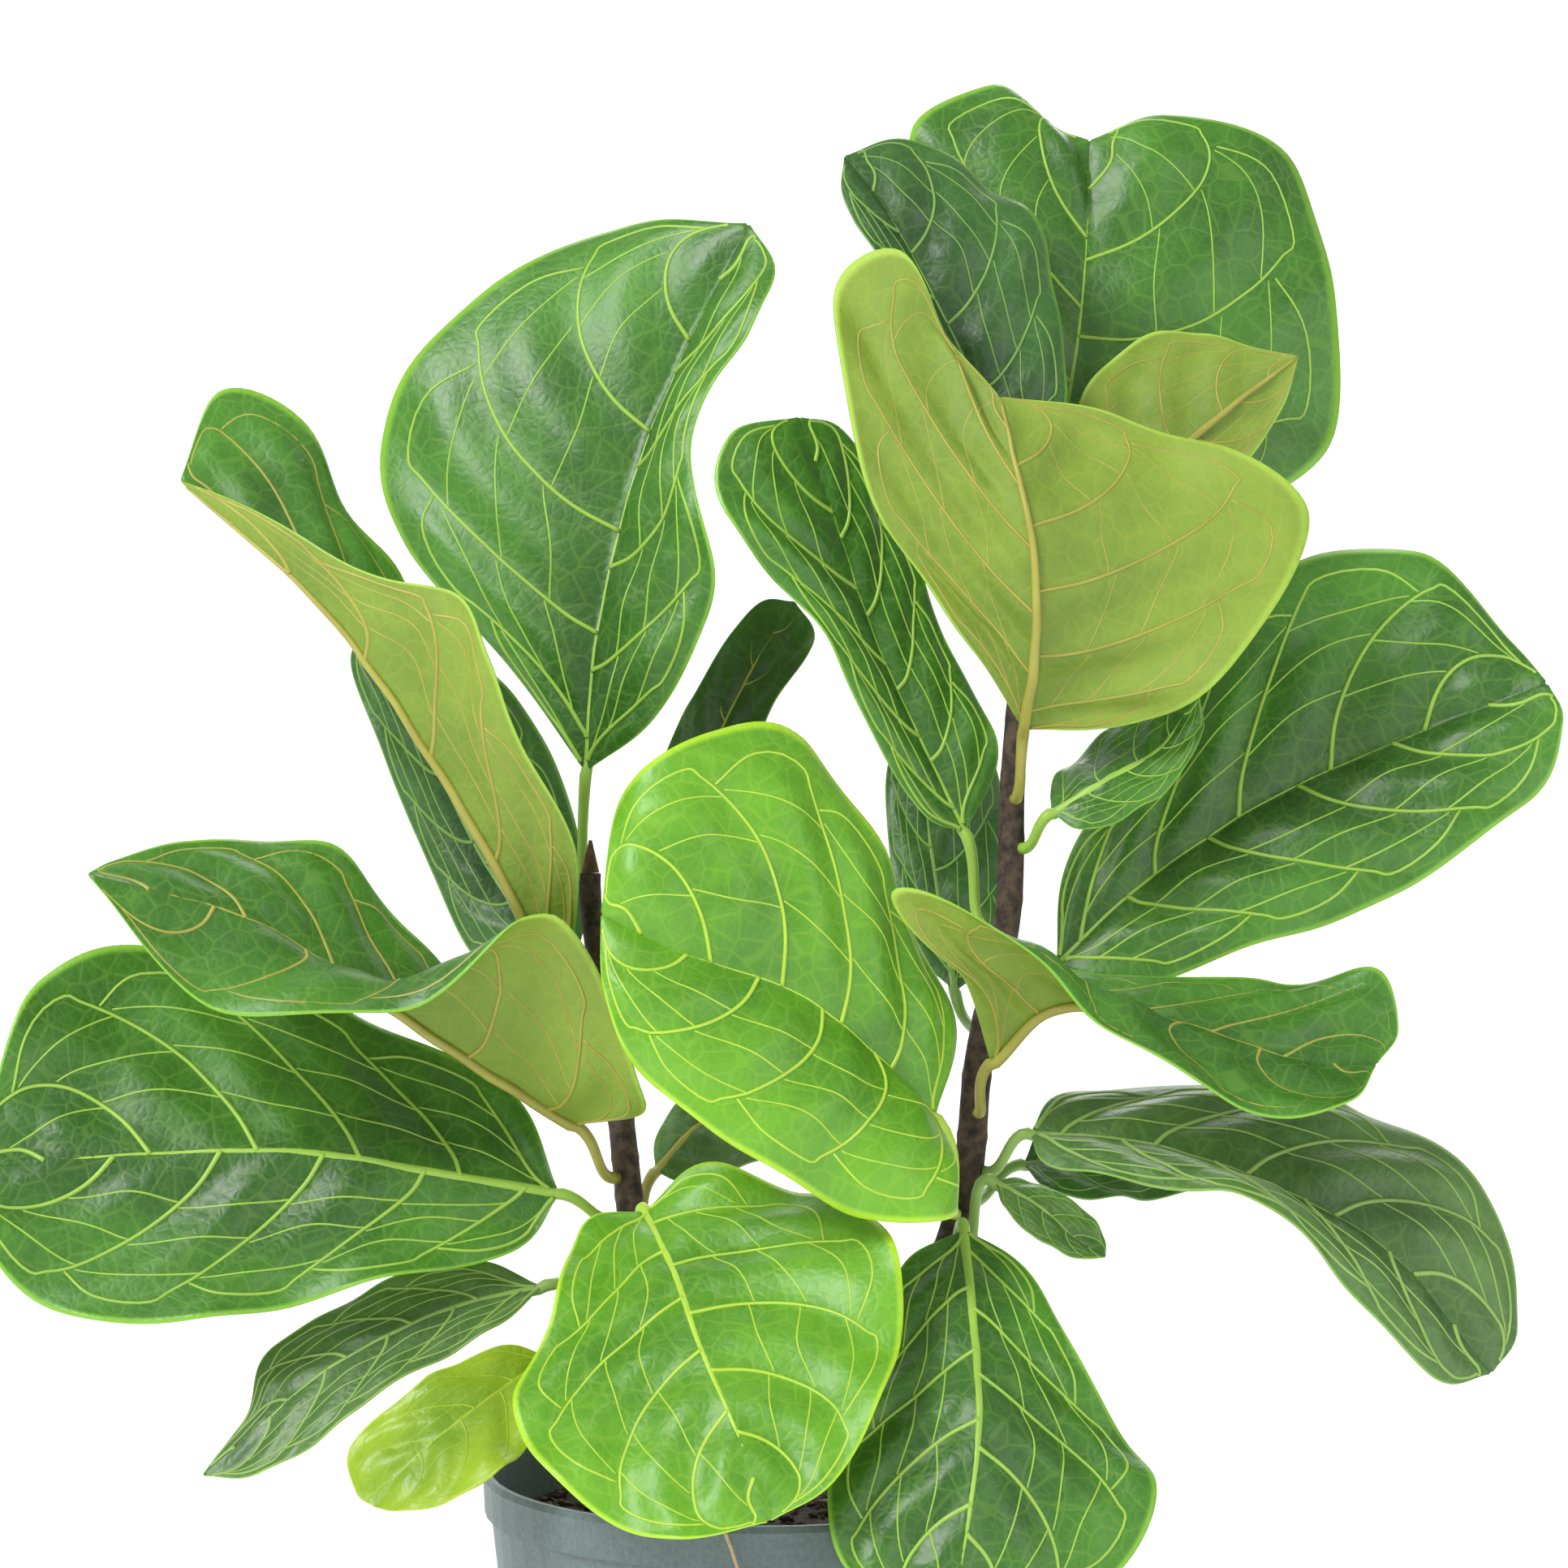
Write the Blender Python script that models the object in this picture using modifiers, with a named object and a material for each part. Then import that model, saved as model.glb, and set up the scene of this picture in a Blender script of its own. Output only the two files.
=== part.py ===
"""A potted fiddle leaf fig: a nursery pot, potting mix, two woody stems and their leaves.

Lengths are in metres with +Z up. The origin is the middle of the pot's underside, and -Y is the front.
Each leaf is one solid, lofted on three rails: its midrib and its left and right margins.
"""

import math

import bmesh
import bpy
from mathutils import Vector

CM = 0.01
GAP = 0.0003

# The pot: a three-gallon nursery pot, turned about the Z axis.
POT_HEIGHT = 0.241
RIM_RADIUS = 0.1365
RIM_BAND = 0.021
RIM_STEP = 0.004
BASE_RADIUS = 0.108
POT_WALL = 0.0022
DRAIN_HOLES = 8
DRAIN_RADIUS = 0.007
POT_STEPS = 56

# The potting mix stands a little under the rim and rises at the stems.
SOIL_TOP = 0.212
SOIL_CROWN = 0.216

STEM_LEFT = [(-4.5, 0, 21.55), (-4.7, 0, 24), (-5.6, -0.3, 29), (-6.4, -0.3, 36), (-7.2, 0.3, 43), (-8.3, 0.9, 50), (-8.5, 1, 52), (-8.5, 1, 53)]
STEM_RIGHT = [(5, 0, 21.6), (5.3, 0, 24), (7, 0, 29), (9.8, 0, 37), (10.6, 0, 44), (12, 0, 51), (12.3, 0.5, 58), (13, 1, 66), (13.2, 1, 70), (13.2, 1, 71)]
STEM_FOOT_RADIUS = 0.0085
STEM_TIP_RADIUS = 0.0052
STEM_STEPS = 18

# Leaf thicknesses and the round stalk.
STALK_RADIUS = 0.0028
MIDRIB_THICKNESS = 0.0026
BLADE_THICKNESS = 0.0011
MARGIN_THICKNESS = 0.0008
ACROSS = 7
ALONG = [0.02, 0.08, 0.17, 0.28, 0.40, 0.52, 0.64, 0.75, 0.85, 0.93, 0.98, 0.995]

# Each leaf, in centimetres: the height where its stalk leaves the stem, then the midrib, the left margin and
# the right margin as seen from the leaf's base towards its tip, and how far each half arches off its rails.
LEAVES = {
    "a1": {
        "stalk": 52.3,
        "midrib": [(-8.8, 2.2, 58), (-8.3, 2.6, 64.5), (-6.5, 3.4, 72.5), (-3.8, 4.6, 79.5), (-0.7, 4.4, 85.6)],
        "left": [(-12.5, 3.6, 63), (-18, 5.4, 69.5), (-19.6, 6.6, 75.5), (-14.4, 7.4, 82.5), (-7.5, 7.4, 86)],
        "right": [(-5, 0.6, 61), (-2.4, -0.6, 67.5), (-3.6, 0.4, 74.5), (-0.6, 1.6, 79.8), (0.6, 3, 83)],
        "arch": 0.6,
    },
    "a2": {
        "stalk": 44,
        "midrib": [(-9.6, -4, 47), (-12.2, -5.5, 53), (-16.4, -6, 60), (-21, -5, 66), (-28, -3, 72)],
        "left": [(-13, -1, 55), (-16, 0.6, 62), (-19, 0.6, 69), (-22.5, 0.4, 75), (-26.5, -0.4, 76.5)],
        "right": [(-8.6, -6.4, 54), (-12, -8.6, 60.5), (-13, -8.4, 65.6), (-18, -6.6, 67), (-24, -4.6, 70.4)],
        "arch": 0.4,
    },
    "a3": {
        "stalk": 46.5,
        "midrib": [(-9.5, 4, 48), (-13, 6, 51.6), (-16, 7.4, 56.6), (-18.5, 8.2, 62.5), (-20.8, 8.4, 65.2)],
        "left": [(-14.2, 5.4, 48.3), (-17, 7, 53), (-20, 8, 60), (-21.3, 8.6, 63.5)],
        "right": [(-9, 6.6, 52.4), (-11, 8.6, 59), (-14.6, 9.4, 63.6), (-18.6, 9, 65.8)],
        "arch": 0.4,
    },
    "a4": {
        "stalk": 38.2,
        "midrib": [(-9, -2.8, 41), (-13.8, -4.4, 44.2), (-18.4, -5.6, 47.4), (-24, -6.4, 51), (-31.4, -8, 53.2)],
        "left": [(-13, -1.4, 45.5), (-17, -1.6, 50.4), (-22, -2.4, 54.6), (-27.4, -4.4, 54.6), (-30.4, -6.4, 53.8)],
        "right": [(-5.4, -6, 42.4), (-8.4, -8.4, 50), (-11, -9.4, 51), (-16, -9.6, 47.4), (-25, -9.6, 47)],
        "arch": 0.3,
    },
    "a5": {
        "stalk": 36.2,
        "midrib": [(-9.8, -2, 37.6), (-16, -3, 38.8), (-22, -3.6, 39.8), (-29, -4.4, 39.8), (-37, -6, 39.4)],
        "left": [(-12.5, 0.4, 42.4), (-20, 1.6, 46), (-29.5, 0.2, 49.5), (-34.8, -2, 48), (-36.6, -4.4, 43)],
        "right": [(-12, -3.6, 35), (-19, -6.6, 33.8), (-27, -8.6, 32.4), (-33, -8.8, 33.2), (-36.4, -7.8, 36.4)],
        "arch": 0.7,
    },
    "a6": {
        "stalk": 33.2,
        "midrib": [(-10.6, -2.6, 33.2), (-15.3, -4, 32.2), (-20.4, -5.4, 29.8), (-23.6, -6.4, 27.2), (-26.2, -7, 25)],
        "left": [(-14, -2.4, 34.4), (-19, -2.8, 33), (-23.4, -4, 30.4), (-24.4, -5.4, 27.6)],
        "right": [(-12.6, -5, 31.6), (-16.4, -6.8, 29.8), (-20, -8, 27.4), (-23.4, -7.8, 25.2)],
        "arch": 0.3,
    },
    "a7": {
        "stalk": 29.6,
        "midrib": [(-10, -6, 30.4), (-13.4, -9, 28.4), (-16, -10.4, 26.4), (-17.6, -11, 24.4)],
        "left": [(-12.4, -6.6, 31), (-16.2, -8.8, 29.4), (-18.8, -9.6, 27), (-18.6, -10.4, 25)],
        "right": [(-10, -9, 28.4), (-11.6, -12, 26.4), (-14.2, -12.4, 25), (-16.4, -11.8, 24.4)],
        "arch": 0.3,
    },
    "a8": {
        "stalk": 34.6,
        "midrib": [(-5.6, -4, 37), (-4, -8.5, 34.6), (-2.8, -12, 32), (-1, -15.5, 28.6), (0.4, -17.4, 25.2)],
        "left": [(-8.6, -5.4, 36.6), (-9.6, -9.6, 32.8), (-11.2, -13, 29.6), (-8.8, -16, 26.4), (-4, -18, 24.6)],
        "right": [(-3, -3.6, 39), (1.6, -5.4, 38.4), (6, -9.4, 36.4), (6, -13.4, 31.4), (3.4, -16.6, 27)],
        "arch": 0.5,
    },
    "a9": {
        "stalk": 35.4,
        "midrib": [(-5.4, 3.6, 38), (-3.4, 6, 40), (-1.4, 8, 40.8), (1.6, 10.4, 39.6)],
        "left": [(-5.4, 5.6, 39.6), (-3.6, 8, 41.8), (-0.6, 10, 41.6)],
        "right": [(-3.8, 4, 37.4), (-1, 6.4, 38), (1, 8.8, 38.4)],
        "arch": 0.2,
    },
    "b1": {
        "stalk": 69.6,
        "midrib": [(14.6, 4, 72.6), (16, 6, 80.4), (16.6, 7.6, 86), (16.8, 8.6, 90.6)],
        "left": [(10.4, 6, 78), (9, 8, 86), (7.6, 8.6, 91), (12, 9, 93.6), (15, 9, 91.4)],
        "right": [(22, 6.4, 71), (29, 8, 74.6), (29.4, 8.8, 82), (27.4, 9.4, 89.8), (21, 9.2, 92)],
        "arch": 0.8,
    },
    "b1_young": {
        "stalk": 67.6,
        "midrib": [(16.2, 1.4, 70.4), (20, 2, 73.4), (23.6, 2.8, 76.4), (26.8, 3.4, 78.8)],
        "left": [(15.6, 2.4, 76), (18.4, 3, 79.4), (22, 3.6, 80), (25, 3.8, 79.2)],
        "right": [(19.6, 1.6, 70.6), (23.4, 2, 72.8), (25.8, 2.8, 76)],
        "arch": -0.4,
    },
    "b2": {
        "stalk": 68.4,
        "midrib": [(12, -0.2, 73.4), (9, 0.2, 80), (6.2, 0.8, 85.4), (4, 1.4, 88.4)],
        "left": [(8.6, -0.8, 77.6), (6, -0.6, 82.4), (4, 0.2, 86)],
        "right": [(14.8, 0.4, 76), (14, 2, 84), (11, 2.8, 87.6), (7, 2.4, 89.4)],
        "arch": 0.5,
    },
    "b3": {
        "stalk": 56.6,
        "midrib": [(12.6, -2.4, 60), (13, -4.8, 64), (12.8, -5.6, 68.6), (12, -4.8, 72.6), (11.4, -3.2, 76)],
        "left": [(9.6, -4, 64.6), (5.6, -4.6, 70), (4, -4, 76), (3.6, -2.8, 81.6), (6.4, -2.4, 83), (9, -2.6, 79)],
        "right": [(18.8, -3.4, 60.4), (23.6, -4.4, 64.6), (26.2, -3.6, 70.4), (22, -2.8, 73.6), (16.2, -2.8, 75.4)],
        "arch": -0.5,
    },
    "b4": {
        "stalk": 50,
        "midrib": [(10, 1.6, 55), (7.6, 2, 60), (5.4, 2.2, 65), (3.4, 2, 71), (1.8, 2, 75.6)],
        "left": [(7.8, 0.8, 56), (5, 0.2, 60.6), (2.4, 0, 65.6), (-2, -0.4, 70.6), (-1.6, 0.6, 74.6)],
        "right": [(11.6, 2.4, 59), (9, 3.4, 65), (6.4, 3.8, 71), (4, 3, 75)],
        "arch": 0.3,
    },
    "b4_back": {
        "stalk": 45.2,
        "midrib": [(9.6, 3.4, 47), (8.8, 6, 52), (8.2, 7.6, 58), (8.6, 8.4, 62)],
        "left": [(7.8, 4.6, 49), (6.4, 6.8, 54), (6.6, 8.2, 59.6)],
        "right": [(12, 5.4, 49), (12.6, 8, 54), (11.4, 9, 59.6)],
        "arch": 0.3,
    },
    "b5": {
        "stalk": 46.4,
        "midrib": [(14.6, 2.6, 48.4), (19, 3.4, 52.4), (25.4, 4, 56.6), (33, 4, 60), (39, 2.4, 62.4)],
        "left": [(15.4, 4.6, 53.6), (20, 6, 60), (27, 7, 68.6), (33.6, 6.6, 69), (37.6, 4.4, 64.6)],
        "right": [(17, 1.8, 47.2), (24, 1.4, 49.2), (32, 1, 52.4), (38, 1, 57), (39.6, 1.6, 60.4)],
        "arch": 0.8,
    },
    "b6": {
        "stalk": 41.4,
        "midrib": [(11, -3, 44), (14, -4.6, 46.8), (19.4, -5.4, 46.2), (25.2, -5.8, 44.4), (29, -6, 44.2)],
        "left": [(9.4, -6, 48.4), (6, -9, 52), (11.6, -9, 50.6), (15.6, -9, 46.4), (22, -9.4, 42.6), (27, -9, 42.6)],
        "right": [(13, -1.8, 48.6), (18.6, -2.2, 48), (25, -2.8, 48), (29.4, -3.6, 48.2), (30.2, -5, 45.8)],
        "arch": 0.3,
    },
    "b7": {
        "stalk": 38.6,
        "midrib": [(13, -1, 40.4), (18.4, -1.8, 40), (24.2, -2.8, 38.2), (30, -4, 35), (34.6, -5, 29.4)],
        "left": [(15, 1, 42.2), (22, 2, 42.4), (29.6, 1.2, 41.6), (35.4, -1.2, 37), (36.2, -3.6, 31.6)],
        "right": [(14, -3, 39), (19.6, -5.2, 38.2), (23, -6, 38), (27.4, -6.4, 34), (31.6, -6.2, 29.4)],
        "arch": 0.5,
    },
    "b7_under": {
        "stalk": 37,
        "midrib": [(13, 3.4, 38.4), (17.4, 5.4, 38.6), (21, 6.6, 38.4), (24, 7.4, 38)],
        "left": [(14.6, 5.6, 40.6), (19, 7.6, 41), (23, 8.4, 39.6)],
        "right": [(14.4, 2, 37.2), (19, 3.6, 36.6), (23, 5.8, 37.2)],
        "arch": 0.3,
    },
    "b8": {
        "stalk": 54.2,
        "midrib": [(14, -1.6, 56), (16.6, -1.8, 57.6), (19.4, -0.8, 59.2), (21.4, 0.4, 62)],
        "left": [(14.4, 0.6, 57.6), (17, 1.2, 60), (20.2, 1.4, 62)],
        "right": [(15.6, -2.4, 55.2), (19, -1.8, 56.6), (21.4, -0.4, 59.6)],
        "arch": 0.2,
    },
    "b8_small": {
        "stalk": 34.4,
        "midrib": [(11.2, -2, 38.2), (13.4, -2.8, 37), (15, -3.4, 35.6), (16.4, -4, 34.8)],
        "left": [(12.8, -1.6, 38.2), (15.4, -2.4, 37), (16.4, -3.2, 35.6)],
        "right": [(11.8, -3.4, 36.8), (13.6, -4.2, 35.4), (15.2, -4.4, 34.8)],
        "arch": 0.1,
    },
    "b9": {
        "stalk": 32.4,
        "midrib": [(9.6, -4.4, 36.2), (9.8, -9, 32.6), (9.8, -13.4, 28.6), (9, -15.6, 23.6), (8.2, -16.2, 19.6)],
        "left": [(6.6, -6, 34.6), (5, -10, 30.6), (3.2, -13.4, 27), (3.6, -15.8, 23)],
        "right": [(12.6, -5.6, 34.4), (15, -9.4, 30), (17.8, -12.4, 25.6), (15, -15, 21.6)],
        "arch": 0.6,
    },
    "b10": {
        "stalk": 36.4,
        "midrib": [(8.2, -5, 41.6), (4.8, -7, 45.2), (1.4, -8.4, 47.8), (-3.6, -9.6, 49.6), (-7.4, -9.4, 51.4)],
        "left": [(9, -8.6, 37.6), (5, -10.8, 37.6), (-1.4, -11.6, 41), (-5.8, -11.4, 44.8), (-7.2, -10.6, 48)],
        "right": [(9.2, -3.4, 46), (6.4, -4, 52.4), (2, -5.6, 59.6), (-2.4, -7.2, 59.8), (-6.4, -8.4, 57)],
        "arch": 0.8,
    },
    "c1": {
        "stalk": 48.6,
        "midrib": [(-4.6, 4.6, 54), (-2.4, 6.4, 59.6), (-0.2, 7.4, 64), (1.6, 8, 66.8)],
        "left": [(-5.2, 5.4, 58), (-3, 7, 63), (-0.4, 8, 66.6)],
        "right": [(-1.6, 5, 57), (0.6, 6.6, 61.6), (2.6, 7.8, 64.8)],
        "arch": -0.2,
    },
}

MATERIALS = {
    "pot": ((0.115, 0.165, 0.165), 0.55),
    "soil": ((0.022, 0.016, 0.011), 0.95),
    "bark": ((0.055, 0.034, 0.022), 0.8),
    "leaf": ((0.10, 0.27, 0.03), 0.35),
    "sheath": ((0.16, 0.075, 0.03), 0.75),
    "straw": ((0.62, 0.42, 0.2), 0.7),
}

# The buds at the stems' tips, and what lies dry on the mix and over the rim.
BUD_HEIGHT = 0.016
DRY_STRAND = [(-3.4, -10.6, 21.42), (-2.6, -12.2, 23.6), (-2, -13.35, 24.37), (-1.5, -14, 23.7), (-0.9, -14.2, 22), (0, -14.4, 19.6)]
DRY_STRAND_RADIUS = 0.001
DRY_LEAF = [(-8.6, -7.4, 21.38), (-7, -8, 21.42), (-6, -8.4, 21.4)]


def scaled(points):
    return [Vector(point) * CM for point in points]


def new_material(name):
    color, roughness = MATERIALS[name]
    material = bpy.data.materials.new(name)
    material.use_nodes = True
    shader = material.node_tree.nodes["Principled BSDF"]
    shader.inputs["Base Color"].default_value = (*color, 1)
    shader.inputs["Roughness"].default_value = roughness
    return material


def add_object(name, mesh, collection, material):
    piece = bpy.data.objects.new(name, mesh)
    piece.data.materials.append(material)
    collection.objects.link(piece)
    return piece


def turned(name, profile, collection, material):
    """A solid turned about Z from (radius, height) points that run up its outer side and back inside."""
    mesh = bpy.data.meshes.new(name)
    edges = [(i, i + 1) for i in range(len(profile) - 1)]
    mesh.from_pydata([(radius, 0, height) for radius, height in profile], edges, [])
    piece = add_object(name, mesh, collection, material)
    screw = piece.modifiers.new("turn", "SCREW")
    screw.steps = screw.render_steps = POT_STEPS
    screw.use_merge_vertices = True
    screw.merge_threshold = 0.00005
    screw.use_normal_calculate = True
    return piece


def make_pot(collection, cutters, material):
    body_top = POT_HEIGHT - RIM_BAND
    body_radius = RIM_RADIUS - RIM_STEP
    profile = [
        (0, 0),
        (BASE_RADIUS - 0.003, 0),
        (BASE_RADIUS, 0.003),
        (body_radius, body_top),
        (RIM_RADIUS - 0.0008, body_top + 0.0012),
        (RIM_RADIUS, POT_HEIGHT - 0.003),
        (RIM_RADIUS - 0.001, POT_HEIGHT),
        (RIM_RADIUS - 0.0035, POT_HEIGHT),
        (RIM_RADIUS - 0.0045, POT_HEIGHT - 0.0015),
        (body_radius - POT_WALL, body_top - 0.002),
        (BASE_RADIUS - POT_WALL, POT_WALL),
        (0, POT_WALL),
    ]
    pot = turned("pot", profile[::-1], collection, material)
    for i in range(DRAIN_HOLES):
        turn = 2 * math.pi * i / DRAIN_HOLES
        radius = BASE_RADIUS - 0.026
        place = (radius * math.cos(turn), radius * math.sin(turn), 0)
        bpy.ops.mesh.primitive_cylinder_add(vertices=16, radius=DRAIN_RADIUS, depth=0.02, location=place)
        cutter = bpy.context.object
        cutter.name = f"drain_cutter_{i + 1}"
        cutter.hide_render = True
        cutter.display_type = "WIRE"
        for owner in cutter.users_collection:
            owner.objects.unlink(cutter)
        cutters.objects.link(cutter)
        cut = pot.modifiers.new(f"drain_{i + 1}", "BOOLEAN")
        cut.object = cutter


def make_soil(collection, material):
    """The mix fills the pot, a hair clear of its wall, and mounds slightly at the middle."""
    slope = (RIM_RADIUS - RIM_STEP - BASE_RADIUS) / (POT_HEIGHT - RIM_BAND - 0.003)
    foot = POT_WALL + GAP
    clear = POT_WALL + GAP * 2
    profile = [
        (0, foot),
        (BASE_RADIUS + slope * (foot - 0.003) - clear, foot),
        (BASE_RADIUS + slope * (SOIL_TOP - 0.003) - clear, SOIL_TOP - 0.003),
        (BASE_RADIUS + slope * (SOIL_TOP - 0.003) - clear - 0.006, SOIL_TOP),
        (0.06, SOIL_TOP + 0.002),
        (0, SOIL_CROWN),
    ]
    turned("soil", profile[::-1], collection, material)


def make_tube(name, points, radii, collection, material, sides=2):
    """A tube through hand-chosen points, made from a curve with filled caps."""
    data = bpy.data.curves.new(name, "CURVE")
    data.dimensions = "3D"
    data.bevel_depth = 1
    data.bevel_resolution = sides
    data.use_fill_caps = True
    spline = data.splines.new("POLY")
    spline.points.add(len(points) - 1)
    for target, point, radius in zip(spline.points, points, radii):
        target.co = (*point, 1)
        target.radius = radius
    return add_object(name, data, collection, material)


def rail_point(points, t):
    """A point on a smooth curve through the rail's points, with t from 0 to 1 along its length."""
    lengths = [0]
    for a, b in zip(points, points[1:]):
        lengths.append(lengths[-1] + (b - a).length)
    want = t * lengths[-1]
    span = max(i for i in range(len(points) - 1) if lengths[i] <= want + 1e-12)
    local = (want - lengths[span]) / (lengths[span + 1] - lengths[span])
    p1, p2 = points[span], points[span + 1]
    p0 = points[span - 1] if span > 0 else p1 * 2 - p2
    p3 = points[span + 2] if span + 2 < len(points) else p2 * 2 - p1
    start, end = (p2 - p0) / 2, (p3 - p1) / 2
    s2, s3 = local**2, local**3
    return p1 * (2 * s3 - 3 * s2 + 1) + start * (s3 - 2 * s2 + local) + p2 * (3 * s2 - 2 * s3) + end * (s3 - s2)


def bezier(corners, t):
    """The place and the direction at t on a cubic curve with these four corners."""
    a, b, c, d = corners
    rest = 1 - t
    place = a * rest**3 + b * 3 * rest**2 * t + c * 3 * rest * t**2 + d * t**3
    ahead = (b - a) * rest**2 + (c - b) * 2 * rest * t + (d - c) * t**2
    return place, ahead.normalized()


def leaf_rails(leaf):
    midrib = scaled(leaf["midrib"])
    left = [midrib[0], *scaled(leaf["left"]), midrib[-1]]
    right = [midrib[0], *scaled(leaf["right"]), midrib[-1]]
    return midrib, left, right


def blade_point(rails, arch, across, along):
    """A point of the blade: across runs from -1 at the left margin to 1 at the right, along from base to tip."""
    midrib, left, right = rails
    middle = rail_point(midrib, along)
    left_edge = rail_point(left, along)
    right_edge = rail_point(right, along)
    ahead = rail_point(midrib, min(along + 0.02, 1)) - rail_point(midrib, max(along - 0.02, 0))
    facing = (right_edge - left_edge).cross(ahead).normalized()
    edge = right_edge if across > 0 else left_edge
    share = abs(across)
    width = (edge - middle).length
    lift = arch * CM * 4 * share * (1 - share) * min(1, width / 0.08)
    return middle + (edge - middle) * share + facing * lift


def blade_normal(rails, arch, across, along):
    step = 0.04
    a = blade_point(rails, arch, min(across + step, 1), along)
    b = blade_point(rails, arch, max(across - step, -1), along)
    c = blade_point(rails, arch, across, min(along + step, 0.999))
    d = blade_point(rails, arch, across, max(along - step, 0.001))
    return (a - b).cross(c - d).normalized()


def thickness(across):
    share = abs(across)
    if share < 0.01:
        return MIDRIB_THICKNESS
    return BLADE_THICKNESS + (MARGIN_THICKNESS - BLADE_THICKNESS) * share


def stalk_seat(stem, height, base):
    """Where a stalk leaves its stem, a hair clear of the bark, and the direction, square to the stem, that it leaves in."""
    axis = stem_points(stem, STEM_STEPS)
    above = next(i for i in range(1, STEM_STEPS) if axis[i].z >= height)
    share = (height - axis[above - 1].z) / (axis[above].z - axis[above - 1].z)
    centre = axis[above - 1].lerp(axis[above], share)
    along = (above - 1 + share) / (STEM_STEPS - 1)
    radius = STEM_FOOT_RADIUS + (STEM_TIP_RADIUS - STEM_FOOT_RADIUS) * along
    grain = (axis[above] - axis[above - 1]).normalized()
    level = Vector((base.x - centre.x, base.y - centre.y, 0))
    out = (level - grain * level.dot(grain)).normalized()
    return centre + out * (radius + GAP), out


def leaf_rings(leaf, stem):
    """Closed rings of points, from the stalk's start to the blade's tip."""
    rails = leaf_rails(leaf)
    arch = leaf["arch"]
    base = rails[0][0]
    start, out = stalk_seat(stem, leaf["stalk"] * CM, base)
    run = (rails[0][1] - base).normalized()
    reach = (base - start).length
    side = (rail_point(rails[2], 0.1) - rail_point(rails[1], 0.1)).normalized()
    spread = [2 * i / (ACROSS - 1) - 1 for i in range(ACROSS)]
    rings = []
    stalk = [start, start + out * reach * 0.4, base - run * reach * 0.4, base]
    for turn in (0, 0.3, 0.6, 0.9):
        place, ahead = bezier(stalk, turn)
        flat = (side - ahead * side.dot(ahead)).normalized()
        up = flat.cross(ahead)
        arc = [math.pi * (1 - (i + 0.5) / ACROSS) for i in range(ACROSS)]
        upper = [place + (flat * math.cos(a) + up * math.sin(a)) * STALK_RADIUS for a in arc]
        lower = [place + (flat * math.cos(a) - up * math.sin(a)) * STALK_RADIUS for a in reversed(arc)]
        rings.append(upper + lower)
    for along in ALONG:
        points = [blade_point(rails, arch, u, along) for u in spread]
        normals = [blade_normal(rails, arch, u, along) for u in spread]
        fade = min(1, 0.45 + 2 * (1 - along))
        half = [thickness(u) / 2 * fade for u in spread]
        upper = [p + n * h for p, n, h in zip(points, normals, half)]
        lower = [p - n * h for p, n, h in zip(points, normals, half)]
        rings.append(upper + lower[::-1])
    return rings


def loft(name, rings, collection, material):
    """One closed solid through rings that all hold the same number of points."""
    shape = bmesh.new()
    loops = [[shape.verts.new(point) for point in ring] for ring in rings]
    count = len(loops[0])
    for near, far in zip(loops, loops[1:]):
        for i in range(count):
            j = (i + 1) % count
            shape.faces.new((near[i], near[j], far[j], far[i]))
    half = count // 2
    for loop in (loops[0], loops[-1]):
        for i in range(half - 1):
            shape.faces.new((loop[i], loop[i + 1], loop[count - 2 - i], loop[count - 1 - i]))
    bmesh.ops.recalc_face_normals(shape, faces=shape.faces)
    mesh = bpy.data.meshes.new(name)
    shape.to_mesh(mesh)
    shape.free()
    return add_object(name, mesh, collection, material)


def make_bud(name, stem, collection, material):
    tip = Vector(stem[-1]) * CM
    bpy.ops.mesh.primitive_cone_add(vertices=12, radius1=0.0045, radius2=0.0008, depth=BUD_HEIGHT)
    bud = bpy.context.object
    bud.name = name
    bud.location = tip + Vector((0, 0, BUD_HEIGHT / 2 + GAP))
    bud.data.materials.append(material)
    for owner in bud.users_collection:
        owner.objects.unlink(bud)
    collection.objects.link(bud)


def stem_points(route, count):
    points = scaled(route)
    return [rail_point(points, i / (count - 1)) for i in range(count)]


def tapered(count, foot, tip):
    return [foot + (tip - foot) * i / (count - 1) for i in range(count)]


def main():
    for old in list(bpy.data.objects):
        bpy.data.objects.remove(old)
    plant = bpy.data.collections.new("potted_fiddle_leaf_fig")
    cutters = bpy.data.collections.new("cutters")
    bpy.context.scene.collection.children.link(plant)
    bpy.context.scene.collection.children.link(cutters)
    materials = {name: new_material(name) for name in MATERIALS}
    make_pot(plant, cutters, materials["pot"])
    make_soil(plant, materials["soil"])
    for side, route in (("left", STEM_LEFT), ("right", STEM_RIGHT)):
        radii = tapered(STEM_STEPS, STEM_FOOT_RADIUS, STEM_TIP_RADIUS)
        make_tube(f"stem_{side}", stem_points(route, STEM_STEPS), radii, plant, materials["bark"], 4)
        make_bud(f"bud_{side}", route, plant, materials["sheath"])
    for name, leaf in LEAVES.items():
        stem = STEM_RIGHT if name.startswith("b") else STEM_LEFT
        loft(f"leaf_{name}", leaf_rings(leaf, stem), plant, materials["leaf"])
    strand = stem_points(DRY_STRAND, 14)
    make_tube("dry_strand", strand, tapered(14, DRY_STRAND_RADIUS, 0.0006), plant, materials["straw"])
    scrap = stem_points(DRY_LEAF, 6)
    make_tube("dry_leaf_bit", scrap, tapered(6, 0.0012, 0.0008), plant, materials["straw"])


main()
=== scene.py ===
# %% [markdown]
# # A potted fiddle leaf fig
#
# The plant is two woody stems in a nursery pot, with large leathery leaves on short stalks.
# The solid model gives the sizes. This script loads it as a frame and builds the looks around it.

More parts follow.
